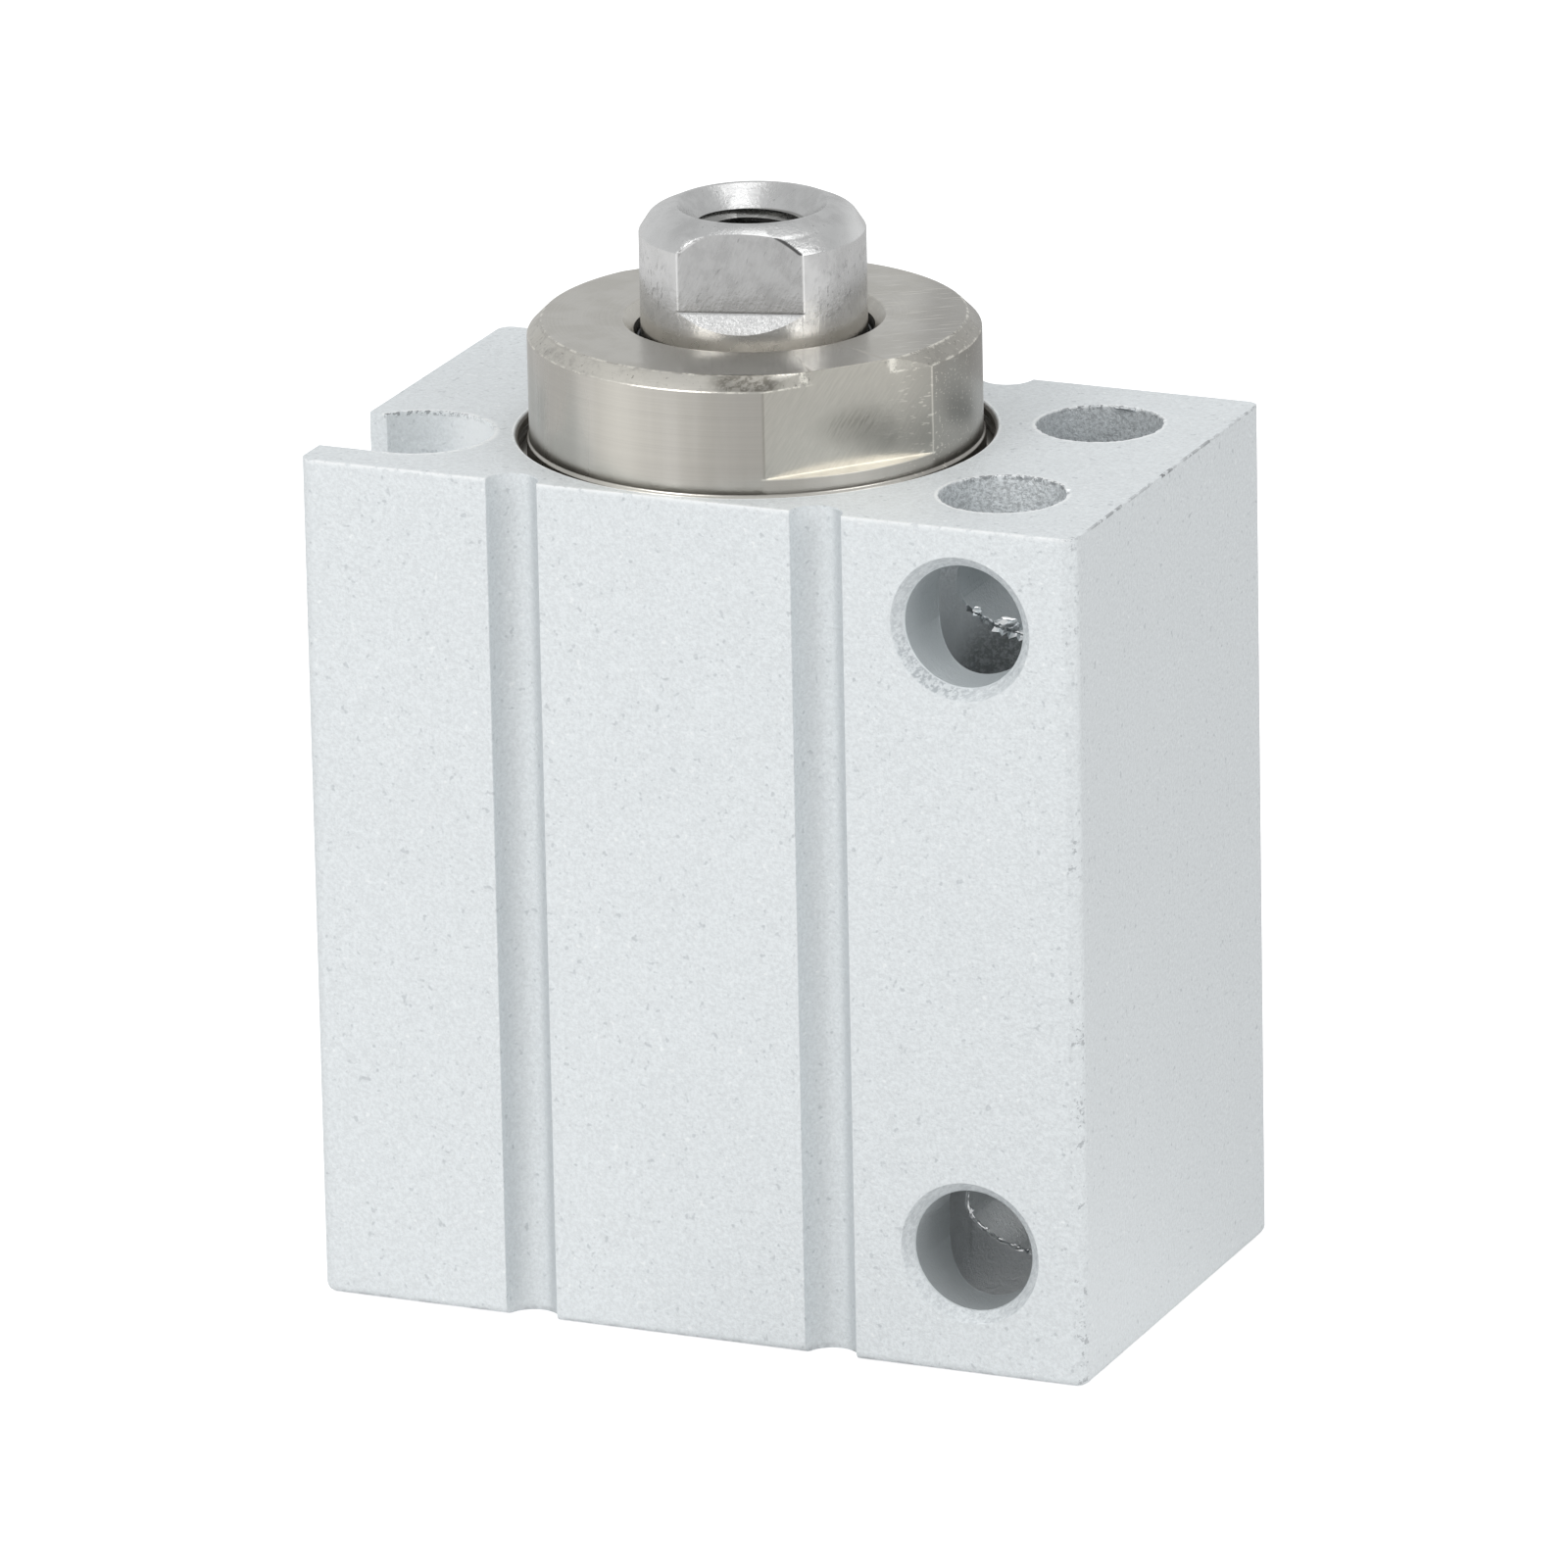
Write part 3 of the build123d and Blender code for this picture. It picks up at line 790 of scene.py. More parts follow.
@dataclass
class SatinNickel(Finish):
    """Nickel plating over turned metal, scuffed at the chamfer and on the wrench flats."""

    name: str = "satin_nickel_plating"
    plate: Colour = (0.575, 0.555, 0.515)
    deep: Colour = (0.525, 0.505, 0.462)
    bright: Colour = (0.90, 0.87, 0.79)
    milled: Colour = (0.53, 0.51, 0.46)
    # dark brown of real smudges and nicks, also the rod's painted reflection on the top face
    smudge_and_reflection: Colour = (0.27, 0.255, 0.222)
    rough: float = 0.29
    foot_z: float = 31.04
    rim_z: float = COVER.top_z - COVER.chamfer
    rim_r: float = COVER.collar_r - COVER.chamfer
    view_right: Triple = (0.94, 0.34, 0.0)
    view_near: Triple = (0.34, -0.94, 0.0)
    smudge_mm: Triple = (5.75, -4.7, 33.0)
    struck_mm: Triple = (2.86, -7.2, 34.9)

    def mix(self) -> None:
        """Turning lines, upright bands, milled flats and a scuffed rim, with painted shade,
        highlights and reflections.
        """
        lines = self.noise(0.07, self.ringed(), detail=2.0, rough=0.6)
        bands = self.noise(1.3, self.mapped(stretch=(1, 1, 10)), detail=3.0)
        specks = self.noise(0.16, detail=3.0, rough=0.7)
        reach, across = self.flat_place(COVER.flat_angle)
        flat = self.flat_mask(reach)
        hatch = self.noise(0.085, self.mapped((0, 38, 0), (1, 1, 9), self.vector(
            across, 0.0, self.z)), detail=3.0)
        across_view = self.along(self.view_right)
        # the darker nickel made here is painted shade, laid on the flat's left, the wall's left and
        # its right edge
        top, radius, nickel_shade = self.top_mask(), self.radius(), toned(self.deep, 0.62)
        wall = self.less(1.0, top)
        dirt = self.times(self.below(self.distance(self.smudge_mm, (1.7, 1.7, 0.75)), 0.2, 1.25),
                          self.spread(hatch, 0.42, 0.60, 0.16, 0.62))
        milled = self.coats(
            self.blend(self.spread(hatch, 0.30, 0.70), toned(self.milled, 0.93),
                       toned(self.milled, 1.04)),
            # painted shade over the left part of the flat
            (dirt, self.smudge_and_reflection), (self.ramp(across_view, 0.0, 4.2, 0.34, 0.0), nickel_shade))
        plain = self.coats(
            self.blend(self.spread(bands, 0.36, 0.64), self.deep, self.plate),
            (self.spread(lines, 0.2, 0.8, 0.0, 0.16), self.bright),
            (self.spread(specks, 0.34, 0.26, 0.0, 0.6), self.milled))
        darker = self.plus(self.ramp(across_view, -6.2, -5.7, 0.30, 0.0),
                           self.ramp(across_view, -2.6, -0.8, 0.0, 0.14))
        scratches = self.times(
            self.ramp(self.along((0.8, 0.6, 0)), 2.0, 5.0, 0.0, 0.5),
            self.patches(0.09, 0.62, 0.72, place=self.mapped((0, 0, 35), (16, 1, 1)),
                         detail=1.0))
        colour = self.coats(
            # painted reflection: an upright bright band on the wall, left of the middle
            plain, (self.times(wall, self.near(across_view, -4.5, 1.5)),
                    self.blend(0.30, plain, self.bright)),
            # painted shade on the left of the wall and along its right edge
            (self.times(wall, darker), nickel_shade), (flat, milled),
            (self.ramp(across_view, 5.2, 6.6, 0.0, 0.62), nickel_shade),
            # painted reflections: a bright line at the foot, and the rod's dark reflection on the
            # top face
            (self.foot_mask(across_view), self.bright), (self.rod_reflection_mask(top), self.smudge_and_reflection),
            # scuffs on the chamfer, with painted highlights on its edges and painted light on its
            # front left
            (self.rim_scuff_and_highlight_mask(radius), self.bright),
            (self.nick_mask(radius), toned(self.smudge_and_reflection, 0.7)),
            # painted highlight along the flats' edges and ledge
            (self.flat_edge_highlight_mask(reach, across), self.bright), (scratches, self.bright))
        self.set(Base_Color=colour, Metallic=1.0,
                 Normal=self.bumps((lines, 0.0016),
                                   (self.noise(0.45, detail=3.0, rough=0.6), 0.006),
                                   (self.times(hatch, flat), 0.0015), (specks, 0.004)),
                 Roughness=self.less(self.spread(bands, 0.3, 0.7, self.rough + 0.04,
                                                 self.rough - 0.02), self.times(top, 0.07)))

    def top_mask(self) -> object:
        """One on the top face."""
        return self.ramp(self.z, COVER.top_z - 0.05, COVER.top_z - 0.01)

    def foot_mask(self, across_view: object) -> object:
        """Painted reflection: bright line at the cover's foot, left of the middle of its front."""
        return self.times(
            self.near(self.z, self.foot_z, 0.11), self.near(across_view, -3.2, 2.6),
            self.ramp(self.along(self.view_near), 3.0, 4.0, 0.0, 0.8))

    def flat_mask(self, reach: object) -> object:
        """One on the wrench flats."""
        return self.times(
            self.ramp(reach, COVER.flat_r - 0.05, COVER.flat_r - 0.02),
            self.ramp(self.z, COVER.flat_low_z + 0.01, COVER.flat_low_z + 0.04),
            self.below(reach, COVER.flat_r + 0.01, COVER.flat_r + 0.03))

    def flat_edge_highlight_mask(self, reach: object, across: object) -> object:
        """Painted highlight: bright line along a flat's ledge and its upright edges."""
        half = math.sqrt(COVER.collar_r ** 2 - COVER.flat_r ** 2)
        upright = self.times(
            self.near(self.size(across), half, 0.07), self.near(reach, COVER.flat_r, 0.05),
            self.ramp(self.z, COVER.flat_low_z - 0.1, COVER.flat_low_z),
            self.ramp(across, -1.0, 1.0, 0.0, 0.5))
        ledge = self.times(self.near(self.z, COVER.flat_low_z, 0.06),
                           self.ramp(reach, COVER.flat_r - 0.08, COVER.flat_r - 0.02), 0.75)
        return self.most(upright, ledge)

    def nick_mask(self, radius: object) -> object:
        """Dark nicks on the chamfer and along the flat's upper edge."""
        struck = self.times(
            self.below(self.distance(self.struck_mm, (1.6, 0.9, 0.7)), 0.5, 1.15),
            self.patches(0.22, 0.40, 0.55, 0.62, 1.0, place=self.mapped((0, 40, 0), (1, 1, 3)),
                         detail=3.0, rough=0.7))
        return self.times(
            self.ramp(self.z, self.rim_z, self.rim_z + 0.06),
            self.ramp(radius, self.rim_r - 0.12, self.rim_r - 0.04),
            self.most(self.patches(0.2, 0.60, 0.68, 0.0, 0.7, detail=3.0, rough=0.8), struck))

    def rod_reflection_mask(self, top: object) -> object:
        """Painted reflection of the rod: brownish band on the top face, before the rod."""
        across = self.size(self.plus(self.along((0.92, 0.39, 0)), 0.2 * MM))
        return self.times(
            self.ramp(across, 1.9, 3.0, 0.64, 0.0),
            self.ramp(self.along((0.39, -0.92, 0)), ROD.radius, ROD.radius + 0.6), top)

    def rim_scuff_and_highlight_mask(self, radius: object) -> object:
        """Scuffed, bright parts of the chamfer and its two edges, partly painted highlight, with
        painted light on its front left.
        """
        low_edge = self.times(self.near(self.z, self.rim_z, 0.08),
                              self.ramp(radius, COVER.flat_r + 0.1, COVER.flat_r + 0.2))
        edges = self.times(self.most(low_edge, self.near(radius, self.rim_r, 0.08)),
                           self.patches(0.5, 0.44, 0.58, detail=4.0, rough=0.8))
        face = self.times(
            self.ramp(radius, self.rim_r, self.rim_r + 0.1), 0.38,
            self.ramp(self.along((-0.86, -0.5, 0)), 1.0, 6.0, 0.25, 1.0),
            self.patches(0.9, 0.36, 0.52, detail=4.0, rough=0.75))
        return self.times(self.ramp(self.z, self.rim_z - 0.06, self.rim_z + 0.02),
                          self.most(edges, face))


@dataclass
class TurnedSteel(Finish):
    """Stainless bar with turning lines, milled flats and small handling marks."""

    name: str = "turned_stainless_steel"
    tone: Colour = (0.66, 0.66, 0.658)
    dark: Colour = (0.58, 0.58, 0.578)
    bright: Colour = (0.95, 0.95, 0.945)
    # brownish tone of the cover's painted reflection at the rod's foot
    foot_reflection: Colour = (0.52, 0.49, 0.44)
    bore: Colour = (0.27, 0.27, 0.26)
    rough: float = 0.24
    foot_z: float = 35.6
    thread_r: float = 2.02
    sink_low_z: float = 38.52

    def mix(self) -> None:
        """Turning lines, scratches, nicks, the flats' bright edges as painted highlights, and
        painted light, shade and reflection.
        """
        rings = self.ringed()
        lines = self.noise(0.05, rings, detail=2.0, rough=0.6)
        broad = self.noise(0.30, rings, detail=2.0, rough=0.6)
        cloud = self.noise(0.7, detail=3.0, rough=0.55)
        marks = self.noise(0.13, self.mapped((10, 20, 30), (1, 1, 5)), detail=3.0)
        peened = self.noise(0.11, detail=3.0, rough=0.7)
        gouges = self.noise(0.17, self.mapped((0, 28, 0), (1, 1, 3.2)), detail=3.0, rough=0.7)
        flat_r, low_z = ROD.flat_r, ROD.flat_low_z
        reach, across = self.flat_place(ROD.flat_angle)
        # painted light: the rod's sides brighter towards the right, less on the left
        ends = self.times(
            self.most(self.ramp(self.along((0.93, 0.37, 0)), 2.9, 3.9, 0.0, 0.95),
                      self.ramp(self.along((-0.93, -0.37, 0)), 2.2, 3.6, 0.0, 0.5)),
            self.ramp(self.z, low_z - 0.2, ROD.nose_z - 0.4))
        sides = self.times(
            self.ramp(self.size(self.along((0.96, 0.27, 0))), 2.3, 3.0, 0.0, 0.7),
            self.near(self.z, low_z + 0.7, 1.7), self.spread(gouges, 0.53, 0.66))
        half = math.sqrt(ROD.radius ** 2 - flat_r ** 2)
        # painted highlight along the flat's upright edges; the peened ledge below is partly painted
        # highlight
        edge = self.times(
            self.near(self.size(across), half, 0.07), self.near(reach, flat_r, 0.06),
            self.ramp(self.z, low_z - 0.3, low_z))
        ledge = self.times(
            self.ramp(reach, flat_r + 0.03, flat_r + 0.08),
            self.ramp(self.z, low_z - 0.62, low_z - 0.5),
            self.spread(peened, 0.35, 0.62, 0.0, 0.45))
        # painted shade in the crease at the foot of the flat
        corner = self.times(
            self.near(self.z, low_z + 0.03, 0.07),
            self.ramp(reach, flat_r + 0.05, flat_r + 0.10, 0.8, 0.0),
            self.ramp(reach, flat_r - 0.04, flat_r - 0.01))
        right = self.ramp(across, 0.7, 1.0)
        colour = self.coats(
            self.blend(self.spread(cloud, 0.36, 0.62), self.dark, self.tone),
            (self.spread(marks, 0.64, 0.76, 0.0, 0.55), toned(self.dark, 0.55)),
            (self.spread(peened, 0.33, 0.25, 0.0, 0.6), toned(self.dark, 0.6)),
            # painted light on the rod's sides
            (ends, self.bright), (sides, toned(self.dark, 0.5)),
            # painted reflection of the cover at the rod's foot
            (self.ramp(self.z, self.foot_z - 0.5, self.foot_z + 0.3, 0.6, 0.0), self.foot_reflection),
            # painted highlight on the flat's edges and ledge
            (self.most(edge, ledge), self.bright),
            # painted highlight turning to painted shade along the edge between flat and nose
            (self.slant_highlight_and_shade_mask(reach, right),
             self.blend(right, self.bright, toned(self.dark, 0.22))),
            # painted shade in the crease at the flat's foot
            (self.bore_mask(), self.bore), (corner, toned(self.dark, 0.45)))
        on_flat = self.below(reach, flat_r + 0.01, flat_r + 0.05)
        self.set(Base_Color=colour, Metallic=1.0,
                 Normal=self.bumps((lines, 0.0014), (broad, 0.003), (peened, 0.006),
                                   (marks, 0.006), (self.times(on_flat, gouges), 0.010)),
                 Roughness=self.spread(cloud, 0.3, 0.7, self.rough + 0.05, self.rough - 0.03))

    def slant_highlight_and_shade_mask(self, reach: object, right: object) -> object:
        """One on the edge between a flat and the nose, broken but for its right end; its colour is
        a painted highlight that turns to painted shade at that end.
        """
        nose_r = self.node("MapRange", self.z, *(length * MM for length in (
            ROD.nose_z, ROD.nose_top_z, ROD.radius, ROD.nose_r))).outputs[0]
        gap = self.size(self.less(self.radius(), nose_r))
        return self.times(
            self.below(gap, 0.05, 0.10), self.near(reach, ROD.flat_r, 0.05),
            self.ramp(self.z, ROD.nose_z - 0.03, ROD.nose_z + 0.03),
            self.most(right, self.patches(0.2, 0.40, 0.52, detail=2.0)))

    def bore_mask(self) -> object:
        """One on the darker wall of the thread, below the countersink."""
        return self.times(
            self.ramp(self.radius(), self.thread_r, self.thread_r + 0.02, 0.85, 0.0),
            self.below(self.z, self.sink_low_z - 0.04, self.sink_low_z))


@dataclass
class WorkedMetal(Finish):
    """Plain metal of a hidden or rear piece, with turning lines and clouds."""

    tone: Colour = (0.62, 0.63, 0.64)
    shade: Colour = (0.44, 0.45, 0.46)
    rough: float = 0.34

    def mix(self) -> None:
        """Rings and clouds on bare or plated metal."""
        lines = self.noise(0.09, self.ringed(), detail=2.0, rough=0.6)
        cloud = self.noise(1.6, detail=4.0, rough=0.6)
        self.set(Base_Color=self.blend(self.spread(cloud, 0.33, 0.66), self.shade, self.tone),
                 Metallic=1.0,
                 Normal=self.bumps((lines, 0.003), (self.noise(0.4, detail=3.0), 0.006)),
                 Roughness=self.spread(cloud, 0.3, 0.7, self.rough + 0.08, self.rough - 0.05))


@dataclass
class Elastomer(Finish):
    """Rubber, urethane or filled plastic with a fine moulded skin."""

    tone: Colour = (0.025, 0.025, 0.027)
    bloom: Colour = (0.06, 0.06, 0.062)
    rough: float = 0.62
    grain_mm: float = 0.12

    def mix(self) -> None:
        """Moulded grain and a light dusty bloom."""
        grain = self.noise(self.grain_mm, detail=3.0, rough=0.6)
        cloud = self.noise(1.8, detail=3.0)
        self.set(Base_Color=self.blend(self.spread(cloud, 0.4, 0.65), self.tone, self.bloom),
                 Metallic=0.0, Normal=self.bumps((grain, 0.012)),
                 Roughness=self.spread(grain, 0.3, 0.7, self.rough - 0.08, self.rough + 0.08))


BLASTED = BlastedAnodised()
NICKEL = SatinNickel()
STAINLESS = TurnedSteel()
PLATE_ALUMINIUM = WorkedMetal("turned_aluminium", (0.70, 0.71, 0.72), (0.55, 0.56, 0.57), 0.36)
SPRING_STEEL = WorkedMetal("phosphated_spring_steel", (0.16, 0.155, 0.15), (0.07, 0.07, 0.07), 0.42)
ZINC_STEEL = WorkedMetal("zinc_plated_steel", (0.58, 0.60, 0.64), (0.42, 0.44, 0.48), 0.30)
BRONZE = WorkedMetal("bearing_bronze", (0.50, 0.34, 0.18), (0.36, 0.23, 0.11), 0.33)
BURR_METAL = WorkedMetal("bright_cut_aluminium", (0.96, 0.97, 0.97), (0.88, 0.90, 0.91), 0.12)
BLACK_RUBBER = Elastomer("black_rubber")
URETHANE = Elastomer("dark_urethane", (0.045, 0.05, 0.055), (0.085, 0.09, 0.10), 0.48, 0.2)
BEARING_PLASTIC = Elastomer("bearing_plastic", (0.10, 0.075, 0.05), (0.17, 0.13, 0.09), 0.45, 0.1)
MAGNET_PLASTIC = Elastomer("magnet_compound", (0.035, 0.033, 0.032), (0.10, 0.095, 0.09), 0.55,
                           0.08)


# Sub-assemblies


@dataclass(frozen=True)
class BodyBlock:
    """Extruded cylinder body with its grooves, sensor slot, bore, ports and mounting holes."""

    corner_r: float = 0.5
    foot_r: float = 0.32
    slot_mouth_y: Pair = (-7.02, -2.75)
    lip_r: float = 0.1
    mouth_lip_r: Pair = (0.5, 0.2)
    rim_r: float = 0.06
    bore_r: float = 8.0
    ring_groove_r: float = 8.4
    ring_groove_z: Pair = (0.67, 1.53)
    pocket_low_z: float = 27.0
    pocket_mouth: float = 0.13
    pocket_groove_z: Pair = (30.35, 30.62)
    wall_z: tuple[float, ...] = (1.9, 7.1, 12.0, 18.0, 24.7, 29.9, 30.6)
    entry_chamfer: float = 0.06
    ragged_height: float = 0.12
    ragged: Pair = (-0.035, 0.04)
    cross_chamfer: float = 0.4
    port_y: float = 3.5
    port_z: Pair = (4.05, 24.45)
    port_drill_r: float = 2.1
    port_thread_r: float = 2.48
    port_pitch: float = 0.8
    port_depth: float = 4.3
    port_chamfer: float = 0.5
    port_relief: float = 0.3
    passage_r: float = 0.8
    passage_past: float = 2.0
    lip_deg: float = 40.0
    seed: int = 7

    def build(self) -> None:
        """Model the body and set it in the frame."""
        piece = self.extrusion()
        cut(piece, self.bore_cutter())
        for side in (-1, 1):
            cut(piece, self.axial_cutter(side))
        for z in BLOCK.cross_z:
            cut(piece, self.cross_cutter(z))
        for z in self.port_z:
            cut(piece, self.port_cutter(z), self.port_thread(z))
        merge_points(piece, SEAM_GAP)
        finish_piece(piece, Body.CYLINDER, BLASTED, ["cylinder_body"])

    def extrusion(self) -> Piece:
        """Block with rounded corners, grooves and slot, softened along every edge."""
        piece = block("body_block", (BLOCK.left_x, -BLOCK.front_y, 0),
                      (BLOCK.right_x, BLOCK.front_y, BLOCK.top_z))
        soften_edges(piece, self.is_upright, self.corner_r, 6)
        soften_edges(piece, self.is_foot, self.foot_r, 4)
        for x in BLOCK.groove_x:
            for y in (-BLOCK.front_y, BLOCK.front_y):
                cut(piece, self.rod_cutter(x, y, BLOCK.groove_r, GROOVE_STEPS))
        cut(piece, self.rod_cutter(*BLOCK.slot, BLOCK.slot_r, PORT_STEPS))
        low_y, high_y = self.slot_mouth_y
        cut(piece, block("slot_mouth", (BLOCK.left_x - PAST, low_y, -PAST),
                         (BLOCK.slot[0], high_y, BLOCK.top_z + PAST)))
        for y, width in zip(self.slot_mouth_y, self.mouth_lip_r):
            soften_edges(piece, lambda e: self.is_lip(e) and (
                e.verts[0].co.x < BLOCK.left_x + NEAR and abs(e.verts[0].co.y - y) < NEAR),
                width, 4)
        soften_edges(piece, self.is_lip, self.lip_r, 3)
        soften_edges(piece, self.is_rim, self.rim_r, 2)
        merge_points(piece, 2 * SEAM_GAP)
        return piece

    @staticmethod
    def rod_cutter(x: float, y: float, radius: float, steps: int) -> Piece:
        """Upright round cutter through the whole height."""
        return lay(drum("round_cutter", radius, -PAST, BLOCK.top_z + PAST, steps), (x, y, 0))

    @staticmethod
    def is_upright(edge: Edge) -> bool:
        """Whether an edge runs along Z."""
        run = edge.verts[1].co - edge.verts[0].co
        return abs(run.z) > 0.99 * run.length

    def is_lip(self, edge: Edge) -> bool:
        """Whether an edge is an outer upright corner of the section."""
        return self.is_upright(edge) and len(edge.link_faces) == 2 and (
            edge.calc_face_angle_signed(0) > math.radians(self.lip_deg))

    @staticmethod
    def is_foot(edge: Edge) -> bool:
        """Whether an edge lies at the rear face's height."""
        return all(abs(point.co.z) < SEAM_GAP for point in edge.verts)

    @staticmethod
    def is_rim(edge: Edge) -> bool:
        """Whether an edge bounds the top or the bottom face."""
        flat = [abs(face.normal.z) > 0.995 for face in edge.link_faces]
        return sorted(flat) == [False, True]

    def bore_cutter(self) -> Piece:
        """Bore, snap-ring groove and the cover's threaded pocket."""
        low, high = self.ring_groove_z
        thread_low, thread_high = self.pocket_groove_z
        mouth_z = BLOCK.top_z - self.pocket_mouth
        pocket_r, mouth_r = BLOCK.pocket_r, BLOCK.pocket_r + self.pocket_mouth
        return turned("bore_cutter", [
            (0, -PAST), (self.bore_r, -PAST), (self.bore_r, low), (self.ring_groove_r, low),
            (self.ring_groove_r, high), (self.bore_r, high), (self.bore_r, self.pocket_low_z),
            (pocket_r, self.pocket_low_z), (pocket_r, thread_low),
            (mouth_r, (thread_low + thread_high) / 2), (pocket_r, thread_high),
            (pocket_r, mouth_z), (mouth_r, BLOCK.top_z), (mouth_r, BLOCK.top_z + PAST),
            (0, BLOCK.top_z + PAST)], BORE_STEPS)

    def axial_cutter(self, side: int) -> Piece:
        """Drill for one through hole, with a ragged rim at the rod end."""
        hole_r, top_z = BLOCK.hole_r, BLOCK.top_z
        rim_z, entry_r = top_z - self.ragged_height, hole_r + self.entry_chamfer
        drill = turned("axial_drill", [
            (0, -PAST), (entry_r, -PAST), (entry_r, 0.0), (hole_r, self.entry_chamfer),
            *((hole_r, z) for z in self.wall_z), (hole_r, rim_z), (hole_r, top_z),
            (hole_r, top_z + PAST), (0, top_z + PAST)], DRILL_STEPS)
        dice = random.Random(self.seed + side)
        take(drill)
        for point in drill.data.vertices:
            radius = math.hypot(point.co.x, point.co.y)
            if point.co.z > rim_z + 0.05 and radius > 1:
                angle = math.degrees(math.atan2(point.co.y, point.co.x))
                ragged = self.rim_offset(side, angle) + dice.uniform(*self.ragged)
                point.co.x *= (radius + ragged) / radius
                point.co.y *= (radius + ragged) / radius
        return lay(drill, (BLOCK.hole_x, side * BLOCK.hole_y, 0))

    @staticmethod
    def rim_offset(side: int, angle: float) -> float:
        """How far the ragged rim stands off the drill at an angle, millimetres."""
        # middle and half width in degrees, depth in millimetres
        marks = {1: ((88.0, 8.0, -0.30), (73.0, 7.0, 0.10)), -1: ((27.0, 7.0, 0.20),)}
        return sum(depth for middle, width, depth in marks[side] if abs(angle - middle) < width)

    def cross_cutter(self, z: float) -> Piece:
        """Drill for one hole from front to back, countersunk at both mouths."""
        hole_r, outer = BLOCK.cross_r, BLOCK.front_y
        wide, inner = hole_r + self.cross_chamfer, outer - self.cross_chamfer
        drill = turned("cross_drill", [
            (0, -outer - PAST), (wide, -outer - PAST), (wide, -outer), (hole_r, -inner),
            (hole_r, inner), (wide, outer), (wide, outer + PAST), (0, outer + PAST)],
            DRILL_STEPS)
        return lay(drill, (BLOCK.cross_x, 0, z), Turn.FRONT_TO_BACK)

    def port_cutter(self, z: float) -> Piece:
        """Countersunk tapping hole of a port and the passage from it to the bore."""
        wide = self.port_drill_r + self.port_chamfer
        passage_end = -BLOCK.left_x - self.bore_r + self.passage_past
        drill = turned("port_drill", [
            (0, -passage_end), (self.passage_r, -passage_end),
            (self.passage_r, -self.port_depth - 0.5), (self.port_drill_r, -self.port_depth),
            (self.port_drill_r, -self.port_chamfer), (wide, 0), (wide, PAST), (0, PAST)],
            PORT_STEPS)
        return lay(drill, (BLOCK.left_x, self.port_y, z), Turn.TO_PORT_SIDE)

    def port_thread(self, z: float) -> Piece:
        """Thread of a port."""
        thread = screw_cutter("port_tap", self.port_drill_r, self.port_thread_r,
                              self.port_pitch, -self.port_depth + self.port_relief, -0.1,
                              GROOVE_STEPS)
        return lay(thread, (BLOCK.left_x, self.port_y, z), Turn.TO_PORT_SIDE)


